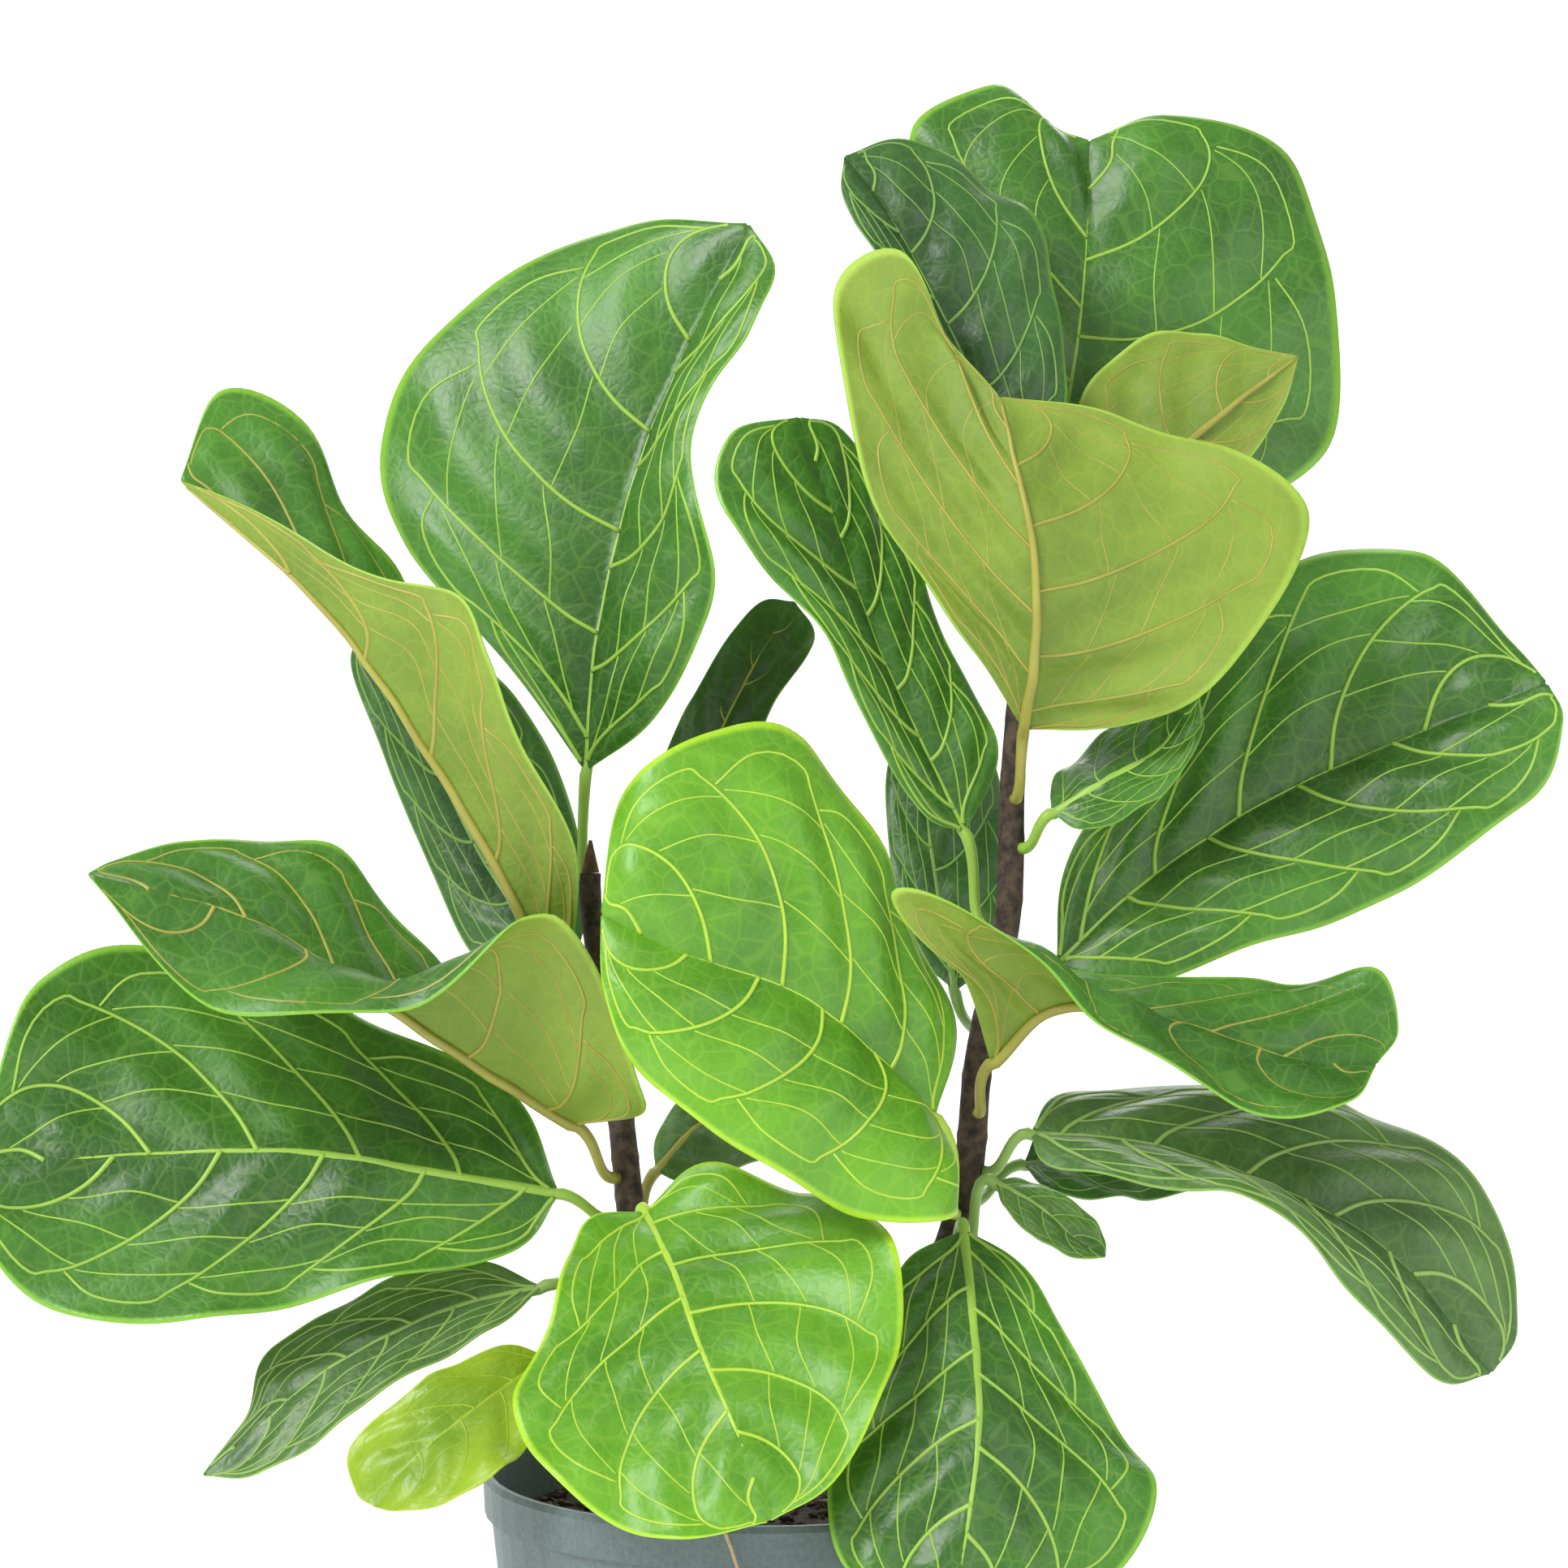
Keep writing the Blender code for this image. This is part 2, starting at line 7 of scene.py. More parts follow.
# %% Load the frame
import math
import random

import bmesh
import bpy
import numpy as np
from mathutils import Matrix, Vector


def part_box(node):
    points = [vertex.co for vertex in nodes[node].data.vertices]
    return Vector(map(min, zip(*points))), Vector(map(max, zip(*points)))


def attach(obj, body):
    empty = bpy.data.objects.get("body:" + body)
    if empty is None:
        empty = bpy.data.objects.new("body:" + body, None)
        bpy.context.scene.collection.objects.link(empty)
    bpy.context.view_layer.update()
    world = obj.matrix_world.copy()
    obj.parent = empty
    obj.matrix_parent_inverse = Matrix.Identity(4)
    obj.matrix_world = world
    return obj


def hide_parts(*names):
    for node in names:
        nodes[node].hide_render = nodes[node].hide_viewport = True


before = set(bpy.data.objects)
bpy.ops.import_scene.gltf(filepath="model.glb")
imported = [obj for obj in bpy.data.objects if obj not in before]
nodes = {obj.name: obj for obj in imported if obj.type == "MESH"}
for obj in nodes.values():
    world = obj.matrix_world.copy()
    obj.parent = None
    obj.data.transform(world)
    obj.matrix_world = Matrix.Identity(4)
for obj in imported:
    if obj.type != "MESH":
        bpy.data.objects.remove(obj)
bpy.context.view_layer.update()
CM = 0.01
GAP = 0.0003
print("nodes in the frame:", len(nodes))

# %% [markdown]
# ## Camera, light and backdrop
#
# A plant on a white sweep needs a large soft key from the upper left, a weak fill, and white all round.
# Area lights give soft shadows, and a curved sweep has no line where floor and wall meet.

# %% Camera
camera_data = bpy.data.cameras.new("camera")
camera_data.lens = 75
camera_data.sensor_width = 36
camera = bpy.data.objects.new("camera", camera_data)
camera.location = (0.0104, -1.6, 0.574)
camera.rotation_euler = (math.radians(90), 0, 0)
bpy.context.scene.collection.objects.link(camera)
bpy.context.scene.camera = camera
bpy.context.scene.view_settings.view_transform = "Standard"
print("camera lens, mm:", camera_data.lens)


# %% Lights and sweep
def add_area_light(name, place, target, size, watts):
    """A square soft light that looks at a point."""
    data = bpy.data.lights.new(name, "AREA")
    data.size = size
    data.energy = watts
    light = bpy.data.objects.new(name, data)
    light.location = place
    aim = Vector(target) - Vector(place)
    light.rotation_euler = aim.to_track_quat("-Z", "Y").to_euler()
    bpy.context.scene.collection.objects.link(light)
    return light


MIDDLE = (0, 0, 0.5)
add_area_light("key", (-1.5, -1.6, 2.3), MIDDLE, 1.1, 66)
add_area_light("fill", (1.9, -1.8, 1.1), MIDDLE, 1.6, 14)
add_area_light("rim", (0.4, 1.9, 2.2), MIDDLE, 1.4, 22)

world = bpy.data.worlds.new("studio")
world.use_nodes = True
world.node_tree.nodes["Background"].inputs["Color"].default_value = (1, 1, 1, 1)
world.node_tree.nodes["Background"].inputs["Strength"].default_value = 0.5
bpy.context.scene.world = world


def make_sweep():
    """A floor that curves up into a wall behind the plant."""
    half_width, front, bend, radius, top = 6, -5, 2.2, 1.6, 6
    turns = np.linspace(0, math.pi / 2, 24)
    arc = [(bend + radius * math.sin(a), radius - radius * math.cos(a)) for a in turns]
    line = [(front, 0), *arc, (bend + radius, top)]
    sweep = bpy.data.meshes.new("sweep")
    points = [(x, y, z) for x in (-half_width, half_width) for y, z in line]
    count = len(line)
    faces = [(i, i + 1, count + i + 1, count + i) for i in range(count - 1)]
    sweep.from_pydata(points, [], faces)
    sweep.shade_smooth()
    piece = bpy.data.objects.new("sweep", sweep)
    bpy.context.scene.collection.objects.link(piece)
    paper = bpy.data.materials.new("white_paper")
    paper.use_nodes = True
    shader = paper.node_tree.nodes["Principled BSDF"]
    shader.inputs["Base Color"].default_value = (0.93, 0.93, 0.94, 1)
    shader.inputs["Roughness"].default_value = 0.9
    shader.inputs["Specular IOR Level"].default_value = 0.1
    shader.inputs["Emission Color"].default_value = (1, 1, 1, 1)
    shader.inputs["Emission Strength"].default_value = 0.42
    piece.data.materials.append(paper)


make_sweep()

# %% [markdown]
# ## Shared effects
#
# A leaf shows the same three effects in every tone: slow patches of lighter and darker green, a net of
# fine veins with small cushions between them, and a pale edge. They live in one node group, so that
# every tone of leaf places the same group with its own colours.


# %% Node helpers
def link(tree, source, target):
    tree.links.new(source, target)


def new_group(name, inputs, outputs):
    """A node group with named sockets: inputs and outputs are (name, kind, default) rows."""
    group = bpy.data.node_groups.new(name, "ShaderNodeTree")
    for label, kind, value in inputs:
        socket = group.interface.new_socket(label, in_out="INPUT", socket_type=kind)
        socket.default_value = value
    for label, kind in outputs:
        group.interface.new_socket(label, in_out="OUTPUT", socket_type=kind)
    return group, group.nodes.new("NodeGroupInput"), group.nodes.new("NodeGroupOutput")


def math_node(tree, operation, first, second=None, third=None):
    node = tree.nodes.new("ShaderNodeMath")
    node.operation = operation
    for socket, value in zip(node.inputs, (first, second, third)):
        if value is None:
            continue
        if isinstance(value, (int, float)):
            socket.default_value = value
        else:
            link(tree, value, socket)
    return node.outputs[0]


def ramp_node(tree, value, low, high):
    """0 below low and 1 above high, eased between."""
    node = tree.nodes.new("ShaderNodeMapRange")
    node.interpolation_type = "SMOOTHSTEP"
    node.inputs["From Min"].default_value = low
    node.inputs["From Max"].default_value = high
    link(tree, value, node.inputs["Value"])
    return node.outputs["Result"]


def mix_node(tree, share, first, second):
    node = tree.nodes.new("ShaderNodeMix")
    node.data_type = "RGBA"
    for socket, value in ((node.inputs["Factor"], share), (node.inputs[6], first), (node.inputs[7], second)):
        if isinstance(value, (int, float)):
            socket.default_value = value
        elif isinstance(value, tuple):
            socket.default_value = value
        else:
            link(tree, value, socket)
    return node.outputs[2]


def noise_node(tree, coordinates, scale, detail=3, roughness=0.5):
    node = tree.nodes.new("ShaderNodeTexNoise")
    node.inputs["Scale"].default_value = scale
    node.inputs["Detail"].default_value = detail
    node.inputs["Roughness"].default_value = roughness
    link(tree, coordinates, node.inputs["Vector"])
    return node.outputs["Fac"]


def cell_node(tree, coordinates, scale, feature="DISTANCE_TO_EDGE"):
    node = tree.nodes.new("ShaderNodeTexVoronoi")
    node.feature = feature
    node.inputs["Scale"].default_value = scale
    link(tree, coordinates, node.inputs["Vector"])
    return node.outputs["Distance"]


def object_place(tree):
    return tree.nodes.new("ShaderNodeTexCoord").outputs["Object"]


# %% The leaf's surface as one node group
def make_leaf_group():
    """Colour, roughness and height of a leaf: patches, net of veins and pale edge."""
    inputs = [
        ("Deep", "NodeSocketColor", (0.02, 0.08, 0.01, 1)),
        ("Fresh", "NodeSocketColor", (0.08, 0.25, 0.02, 1)),
        ("Vein", "NodeSocketColor", (0.3, 0.5, 0.08, 1)),
        ("Edge", "NodeSocketColor", (0.35, 0.55, 0.08, 1)),
        ("Net", "NodeSocketFloat", 0.3),
        ("Gloss", "NodeSocketFloat", 0.35),
    ]
    outputs = [
        ("Colour", "NodeSocketColor"),
        ("Roughness", "NodeSocketFloat"),
        ("Height", "NodeSocketFloat"),
    ]
    group, source, result = new_group("leaf_surface", inputs, outputs)
    place = object_place(group)
    texture_map = group.nodes.new("ShaderNodeUVMap")
    texture_map.uv_map = "leaf"
    parts = group.nodes.new("ShaderNodeSeparateXYZ")
    link(group, texture_map.outputs["UV"], parts.inputs[0])
    from_midrib = math_node(group, "ABSOLUTE", math_node(group, "MULTIPLY_ADD", parts.outputs["X"], 2, -1))
    patches = noise_node(group, place, 14, 3, 0.55)
    mottle = noise_node(group, place, 95, 2, 0.5)
    fine = cell_node(group, place, 190)
    coarse = cell_node(group, place, 75)
    fine_line = ramp_node(group, fine, 0.11, 0.02)
    coarse_line = ramp_node(group, coarse, 0.07, 0.015)
    lines = math_node(group, "MAXIMUM", math_node(group, "MULTIPLY", fine_line, 0.45), coarse_line)
    contrast = math_node(group, "MULTIPLY_ADD", patches, 1.5, -0.5)
    freshness = math_node(group, "MULTIPLY_ADD", mottle, 0.35, contrast)
    outward = ramp_node(group, from_midrib, 0.1, 1)
    freshness = math_node(group, "MULTIPLY_ADD", outward, 0.3, freshness)
    freshness = ramp_node(group, freshness, 0.0, 1.1)
    body = mix_node(group, freshness, source.outputs["Deep"], source.outputs["Fresh"])
    net = math_node(group, "MULTIPLY", lines, source.outputs["Net"])
    veined = mix_node(group, net, body, source.outputs["Vein"])
    edge = ramp_node(group, from_midrib, 0.955, 0.995)
    edged = mix_node(group, edge, veined, source.outputs["Edge"])
    link(group, edged, result.inputs["Colour"])
    gloss = math_node(group, "ADD", source.outputs["Gloss"], -0.1)
    rough = math_node(group, "MULTIPLY_ADD", patches, 0.22, gloss)
    link(group, math_node(group, "MULTIPLY_ADD", lines, 0.08, rough), result.inputs["Roughness"])
    cushions = math_node(group, "MULTIPLY", math_node(group, "MINIMUM", fine, 0.25), 2)
    wide = math_node(group, "MINIMUM", coarse, 0.3)
    relief = math_node(group, "MULTIPLY_ADD", wide, 2.2, cushions)
    height = math_node(group, "ADD", relief, math_node(group, "MULTIPLY", mottle, 0.6))
    link(group, height, result.inputs["Height"])
    return group


leaf_group = make_leaf_group()
print("shared group:", leaf_group.name)


# %% [markdown]
# ## Leaf finishes
#
# The upper side is a waxy, deep to fresh green. The underside is dull and paler, closer to olive.
# The veins are the palest part on both sides. A thin coat on the upper side gives the waxy highlight,
# which plain low roughness would make too mirror-like.


# %% Leaf materials
def leaf_material(name, shaded_deep, fresh, vein, edge, net, gloss, coat, bump):
    material = bpy.data.materials.new(name)
    material.use_nodes = True
    tree = material.node_tree
    shader = tree.nodes["Principled BSDF"]
    surface = tree.nodes.new("ShaderNodeGroup")
    surface.node_tree = leaf_group
    for label, value in (("Deep", shaded_deep), ("Fresh", fresh), ("Vein", vein), ("Edge", edge)):
        surface.inputs[label].default_value = (*value, 1)
    surface.inputs["Net"].default_value = net
    surface.inputs["Gloss"].default_value = gloss
    raised = tree.nodes.new("ShaderNodeBump")
    raised.inputs["Strength"].default_value = bump
    raised.inputs["Distance"].default_value = 0.0006
    link(tree, surface.outputs["Height"], raised.inputs["Height"])
    link(tree, raised.outputs["Normal"], shader.inputs["Normal"])
    link(tree, surface.outputs["Colour"], shader.inputs["Base Color"])
    link(tree, surface.outputs["Roughness"], shader.inputs["Roughness"])
    shader.inputs["Coat Weight"].default_value = coat
    shader.inputs["Coat Roughness"].default_value = 0.22
    return material


# Each tone: deep, fresh, vein and edge colours of the upper side, then deep and fresh of the underside.
TONES = {
    "mid": ((0.018, 0.085, 0.006), (0.06, 0.22, 0.012), (0.34, 0.58, 0.07), (0.22, 0.50, 0.03)),
    # The bright tone is painted light: a lighter copy of the green for sunlit leaves at the front.
    "sunlit_bright": ((0.05, 0.20, 0.005), (0.14, 0.40, 0.010), (0.48, 0.72, 0.06), (0.42, 0.72, 0.02)),
    # The deep tone is painted shade: a darker copy of the green for leaves in shade, mostly at the back.
    "shaded_deep": ((0.012, 0.050, 0.008), (0.035, 0.13, 0.016), (0.20, 0.38, 0.07), (0.15, 0.34, 0.04)),
    # The grey tone is painted shade: a duller, darker copy of the green for shaded leaves.
    "shaded_grey": ((0.035, 0.10, 0.020), (0.085, 0.20, 0.035), (0.28, 0.46, 0.10), (0.24, 0.44, 0.06)),
    "yellow": ((0.11, 0.25, 0.008), (0.30, 0.46, 0.006), (0.36, 0.55, 0.03), (0.40, 0.55, 0.02)),
}
UNDER_DEEP = (0.13, 0.22, 0.018)
UNDER_FRESH = (0.23, 0.34, 0.032)
UNDER_VEIN = (0.42, 0.44, 0.07)
UPPER_NET, UPPER_ROUGHNESS, UPPER_COAT, UPPER_BUMP = 0.1, 0.42, 0.12, 0.4
# One upper-side material per tone, so the sunlit tone carries painted light and the shaded tones painted
# shade.
upper_materials = {
    tone: leaf_material(f"leaf_upper_{tone}", *colours, UPPER_NET, UPPER_ROUGHNESS, UPPER_COAT, UPPER_BUMP)
    for tone, colours in TONES.items()
}
under_material = leaf_material(
    "leaf_under", UNDER_DEEP, UNDER_FRESH, UNDER_VEIN, (0.36, 0.55, 0.06), 0.12, 0.6, 0, 0.35
)


def vein_material(name, colour, dark):
    """A vein is smooth and waxy, and a little darker in patches of noise."""
    material = bpy.data.materials.new(name)
    material.use_nodes = True
    tree = material.node_tree
    shader = tree.nodes["Principled BSDF"]
    grain = noise_node(tree, object_place(tree), 60, 3)
    link(tree, mix_node(tree, grain, (*dark, 1), (*colour, 1)), shader.inputs["Base Color"])
    shader.inputs["Roughness"].default_value = 0.42
    return material


# Each tone's veins take that tone's vein colour, so the bright veins carry painted light and the deep and
# grey ones painted shade.
vein_materials = {
    tone: vein_material(f"vein_{tone}", colours[2], tuple(0.72 * c for c in colours[2]))
    for tone, colours in TONES.items()
}
under_vein_material = vein_material("vein_under", (0.42, 0.42, 0.07), (0.26, 0.22, 0.035))
print("leaf materials:", len(upper_materials) + len(vein_materials) + 2)

# %% [markdown]
# ## The leaves' rails
#
# Each leaf hangs on three curves: its midrib and its two edges. They are the same points as in
# the solid model, in centimetres, so the fine leaf lies where the solid one does.

# %% Stem routes and leaf rails
STEM_LEFT = [
    (-4.5, 0, 21.55), (-4.7, 0, 24), (-5.6, -0.3, 29), (-6.4, -0.3, 36),
    (-7.2, 0.3, 43), (-8.3, 0.9, 50), (-8.5, 1, 52), (-8.5, 1, 53),
]
STEM_RIGHT = [
    (5, 0, 21.6), (5.3, 0, 24), (7, 0, 29), (9.8, 0, 37), (10.6, 0, 44),
    (12, 0, 51), (12.3, 0.5, 58), (13, 1, 66), (13.2, 1, 70), (13.2, 1, 71),
]
STEM_FOOT_RADIUS = 0.0085
STEM_TIP_RADIUS = 0.0052

# Each leaf, in centimetres: the height where its stalk leaves the stem, then the midrib, the left margin and
# the right margin as seen from the leaf's base towards its tip, and how far each half arches off its rails.
LEAVES = {
    "a1": {
        "stalk": 52.3,
        "midrib": [
            (-8.8, 2.2, 58), (-8.3, 2.6, 64.5), (-6.5, 3.4, 72.5),
            (-3.8, 4.6, 79.5), (-0.7, 4.4, 85.6),
        ],
        "left": [
            (-12.5, 3.6, 63), (-18, 5.4, 69.5), (-19.6, 6.6, 75.5),
            (-14.4, 7.4, 82.5), (-7.5, 7.4, 86),
        ],
        "right": [(-5, 0.6, 61), (-2.4, -0.6, 67.5), (-3.6, 0.4, 74.5), (-0.6, 1.6, 79.8), (0.6, 3, 83)],
        "arch": 0.6,
    },
    "a2": {
        "stalk": 44,
        "midrib": [(-9.6, -4, 47), (-12.2, -5.5, 53), (-16.4, -6, 60), (-21, -5, 66), (-28, -3, 72)],
        "left": [(-13, -1, 55), (-16, 0.6, 62), (-19, 0.6, 69), (-22.5, 0.4, 75), (-26.5, -0.4, 76.5)],
        "right": [
            (-8.6, -6.4, 54), (-12, -8.6, 60.5), (-13, -8.4, 65.6),
            (-18, -6.6, 67), (-24, -4.6, 70.4),
        ],
        "arch": 0.4,
    },
    "a3": {
        "stalk": 46.5,
        "midrib": [(-9.5, 4, 48), (-13, 6, 51.6), (-16, 7.4, 56.6), (-18.5, 8.2, 62.5), (-20.8, 8.4, 65.2)],
        "left": [(-14.2, 5.4, 48.3), (-17, 7, 53), (-20, 8, 60), (-21.3, 8.6, 63.5)],
        "right": [(-9, 6.6, 52.4), (-11, 8.6, 59), (-14.6, 9.4, 63.6), (-18.6, 9, 65.8)],
        "arch": 0.4,
    },
    "a4": {
        "stalk": 38.2,
        "midrib": [
            (-9, -2.8, 41), (-13.8, -4.4, 44.2), (-18.4, -5.6, 47.4),
            (-24, -6.4, 51), (-31.4, -8, 53.2),
        ],
        "left": [
            (-13, -1.4, 45.5), (-17, -1.6, 50.4), (-22, -2.4, 54.6),
            (-27.4, -4.4, 54.6), (-30.4, -6.4, 53.8),
        ],
        "right": [(-5.4, -6, 42.4), (-8.4, -8.4, 50), (-11, -9.4, 51), (-16, -9.6, 47.4), (-25, -9.6, 47)],
        "arch": 0.3,
    },
    "a5": {
        "stalk": 36.2,
        "midrib": [
            (-9.8, -2, 37.6), (-16, -3, 38.8), (-22, -3.6, 39.8),
            (-29, -4.4, 39.8), (-37, -6, 39.4),
        ],
        "left": [
            (-12.5, 0.4, 42.4), (-20, 1.6, 46), (-29.5, 0.2, 49.5),
            (-34.8, -2, 48), (-36.6, -4.4, 43),
        ],
        "right": [
            (-12, -3.6, 35), (-19, -6.6, 33.8), (-27, -8.6, 32.4),
            (-33, -8.8, 33.2), (-36.4, -7.8, 36.4),
        ],
        "arch": 0.7,
    },
    "a6": {
        "stalk": 33.2,
        "midrib": [
            (-10.6, -2.6, 33.2), (-15.3, -4, 32.2), (-20.4, -5.4, 29.8),
            (-23.6, -6.4, 27.2), (-26.2, -7, 25),
        ],
        "left": [(-14, -2.4, 34.4), (-19, -2.8, 33), (-23.4, -4, 30.4), (-24.4, -5.4, 27.6)],
        "right": [(-12.6, -5, 31.6), (-16.4, -6.8, 29.8), (-20, -8, 27.4), (-23.4, -7.8, 25.2)],
        "arch": 0.3,
    },
    "a7": {
        "stalk": 29.6,
        "midrib": [(-10, -6, 30.4), (-13.4, -9, 28.4), (-16, -10.4, 26.4), (-17.6, -11, 24.4)],
        "left": [(-12.4, -6.6, 31), (-16.2, -8.8, 29.4), (-18.8, -9.6, 27), (-18.6, -10.4, 25)],
        "right": [(-10, -9, 28.4), (-11.6, -12, 26.4), (-14.2, -12.4, 25), (-16.4, -11.8, 24.4)],
        "arch": 0.3,
    },
    "a8": {
        "stalk": 34.6,
        "midrib": [
            (-5.6, -4, 37), (-4, -8.5, 34.6), (-2.8, -12, 32),
            (-1, -15.5, 28.6), (0.4, -17.4, 25.2),
        ],
        "left": [
            (-8.6, -5.4, 36.6), (-9.6, -9.6, 32.8), (-11.2, -13, 29.6),
            (-8.8, -16, 26.4), (-4, -18, 24.6),
        ],
        "right": [(-3, -3.6, 39), (1.6, -5.4, 38.4), (6, -9.4, 36.4), (6, -13.4, 31.4), (3.4, -16.6, 27)],
        "arch": 0.5,
    },
    "a9": {
        "stalk": 35.4,
        "midrib": [(-5.4, 3.6, 38), (-3.4, 6, 40), (-1.4, 8, 40.8), (1.6, 10.4, 39.6)],
        "left": [(-5.4, 5.6, 39.6), (-3.6, 8, 41.8), (-0.6, 10, 41.6)],
        "right": [(-3.8, 4, 37.4), (-1, 6.4, 38), (1, 8.8, 38.4)],
        "arch": 0.2,
    },
    "b1": {
        "stalk": 69.6,
        "midrib": [(14.6, 4, 72.6), (16, 6, 80.4), (16.6, 7.6, 86), (16.8, 8.6, 90.6)],
        "left": [(10.4, 6, 78), (9, 8, 86), (7.6, 8.6, 91), (12, 9, 93.6), (15, 9, 91.4)],
        "right": [(22, 6.4, 71), (29, 8, 74.6), (29.4, 8.8, 82), (27.4, 9.4, 89.8), (21, 9.2, 92)],
        "arch": 0.8,
    },
    "b1_young": {
        "stalk": 67.6,
        "midrib": [(16.2, 1.4, 70.4), (20, 2, 73.4), (23.6, 2.8, 76.4), (26.8, 3.4, 78.8)],
        "left": [(15.6, 2.4, 76), (18.4, 3, 79.4), (22, 3.6, 80), (25, 3.8, 79.2)],
        "right": [(19.6, 1.6, 70.6), (23.4, 2, 72.8), (25.8, 2.8, 76)],
        "arch": -0.4,
    },
    "b2": {
        "stalk": 68.4,
        "midrib": [(12, -0.2, 73.4), (9, 0.2, 80), (6.2, 0.8, 85.4), (4, 1.4, 88.4)],
        "left": [(8.6, -0.8, 77.6), (6, -0.6, 82.4), (4, 0.2, 86)],
        "right": [(14.8, 0.4, 76), (14, 2, 84), (11, 2.8, 87.6), (7, 2.4, 89.4)],
        "arch": 0.5,
    },
    "b3": {
        "stalk": 56.6,
        "midrib": [
            (12.6, -2.4, 60), (13, -4.8, 64), (12.8, -5.6, 68.6),
            (12, -4.8, 72.6), (11.4, -3.2, 76),
        ],
        "left": [
            (9.6, -4, 64.6), (5.6, -4.6, 70), (4, -4, 76),
            (3.6, -2.8, 81.6), (6.4, -2.4, 83), (9, -2.6, 79),
        ],
        "right": [
            (18.8, -3.4, 60.4), (23.6, -4.4, 64.6), (26.2, -3.6, 70.4),
            (22, -2.8, 73.6), (16.2, -2.8, 75.4),
        ],
        "arch": -0.5,
    },
    "b4": {
        "stalk": 50,
        "midrib": [(10, 1.6, 55), (7.6, 2, 60), (5.4, 2.2, 65), (3.4, 2, 71), (1.8, 2, 75.6)],
        "left": [(7.8, 0.8, 56), (5, 0.2, 60.6), (2.4, 0, 65.6), (-2, -0.4, 70.6), (-1.6, 0.6, 74.6)],
        "right": [(11.6, 2.4, 59), (9, 3.4, 65), (6.4, 3.8, 71), (4, 3, 75)],
        "arch": 0.3,
    },
    "b4_back": {
        "stalk": 45.2,
        "midrib": [(9.6, 3.4, 47), (8.8, 6, 52), (8.2, 7.6, 58), (8.6, 8.4, 62)],
        "left": [(7.8, 4.6, 49), (6.4, 6.8, 54), (6.6, 8.2, 59.6)],
        "right": [(12, 5.4, 49), (12.6, 8, 54), (11.4, 9, 59.6)],
        "arch": 0.3,
    },
    "b5": {
        "stalk": 46.4,
        "midrib": [(14.6, 2.6, 48.4), (19, 3.4, 52.4), (25.4, 4, 56.6), (33, 4, 60), (39, 2.4, 62.4)],
        "left": [(15.4, 4.6, 53.6), (20, 6, 60), (27, 7, 68.6), (33.6, 6.6, 69), (37.6, 4.4, 64.6)],
        "right": [(17, 1.8, 47.2), (24, 1.4, 49.2), (32, 1, 52.4), (38, 1, 57), (39.6, 1.6, 60.4)],
        "arch": 0.8,
    },
    "b6": {
        "stalk": 41.4,
        "midrib": [(11, -3, 44), (14, -4.6, 46.8), (19.4, -5.4, 46.2), (25.2, -5.8, 44.4), (29, -6, 44.2)],
        "left": [
            (9.4, -6, 48.4), (6, -9, 52), (11.6, -9, 50.6),
            (15.6, -9, 46.4), (22, -9.4, 42.6), (27, -9, 42.6),
        ],
        "right": [(13, -1.8, 48.6), (18.6, -2.2, 48), (25, -2.8, 48), (29.4, -3.6, 48.2), (30.2, -5, 45.8)],
        "arch": 0.3,
    },
    "b7": {
        "stalk": 38.6,
        "midrib": [(13, -1, 40.4), (18.4, -1.8, 40), (24.2, -2.8, 38.2), (30, -4, 35), (34.6, -5, 29.4)],
        "left": [(15, 1, 42.2), (22, 2, 42.4), (29.6, 1.2, 41.6), (35.4, -1.2, 37), (36.2, -3.6, 31.6)],
        "right": [(14, -3, 39), (19.6, -5.2, 38.2), (23, -6, 38), (27.4, -6.4, 34), (31.6, -6.2, 29.4)],
        "arch": 0.5,
    },
    "b7_under": {
        "stalk": 37,
        "midrib": [(13, 3.4, 38.4), (17.4, 5.4, 38.6), (21, 6.6, 38.4), (24, 7.4, 38)],
        "left": [(14.6, 5.6, 40.6), (19, 7.6, 41), (23, 8.4, 39.6)],
        "right": [(14.4, 2, 37.2), (19, 3.6, 36.6), (23, 5.8, 37.2)],
        "arch": 0.3,
    },
    "b8": {
        "stalk": 54.2,
        "midrib": [(14, -1.6, 56), (16.6, -1.8, 57.6), (19.4, -0.8, 59.2), (21.4, 0.4, 62)],
        "left": [(14.4, 0.6, 57.6), (17, 1.2, 60), (20.2, 1.4, 62)],
        "right": [(15.6, -2.4, 55.2), (19, -1.8, 56.6), (21.4, -0.4, 59.6)],
        "arch": 0.2,
    },
    "b8_small": {
        "stalk": 34.4,
        "midrib": [(11.2, -2, 38.2), (13.4, -2.8, 37), (15, -3.4, 35.6), (16.4, -4, 34.8)],
        "left": [(12.8, -1.6, 38.2), (15.4, -2.4, 37), (16.4, -3.2, 35.6)],
        "right": [(11.8, -3.4, 36.8), (13.6, -4.2, 35.4), (15.2, -4.4, 34.8)],
        "arch": 0.1,
    },
    "b9": {
        "stalk": 32.4,
        "midrib": [
            (9.6, -4.4, 36.2), (9.8, -9, 32.6), (9.8, -13.4, 28.6),
            (9, -15.6, 23.6), (8.2, -16.2, 19.6),
        ],
        "left": [(6.6, -6, 34.6), (5, -10, 30.6), (3.2, -13.4, 27), (3.6, -15.8, 23)],
        "right": [(12.6, -5.6, 34.4), (15, -9.4, 30), (17.8, -12.4, 25.6), (15, -15, 21.6)],
        "arch": 0.6,
    },
    "b10": {
        "stalk": 36.4,
        "midrib": [
            (8.2, -5, 41.6), (4.8, -7, 45.2), (1.4, -8.4, 47.8),
            (-3.6, -9.6, 49.6), (-7.4, -9.4, 51.4),
        ],
        "left": [
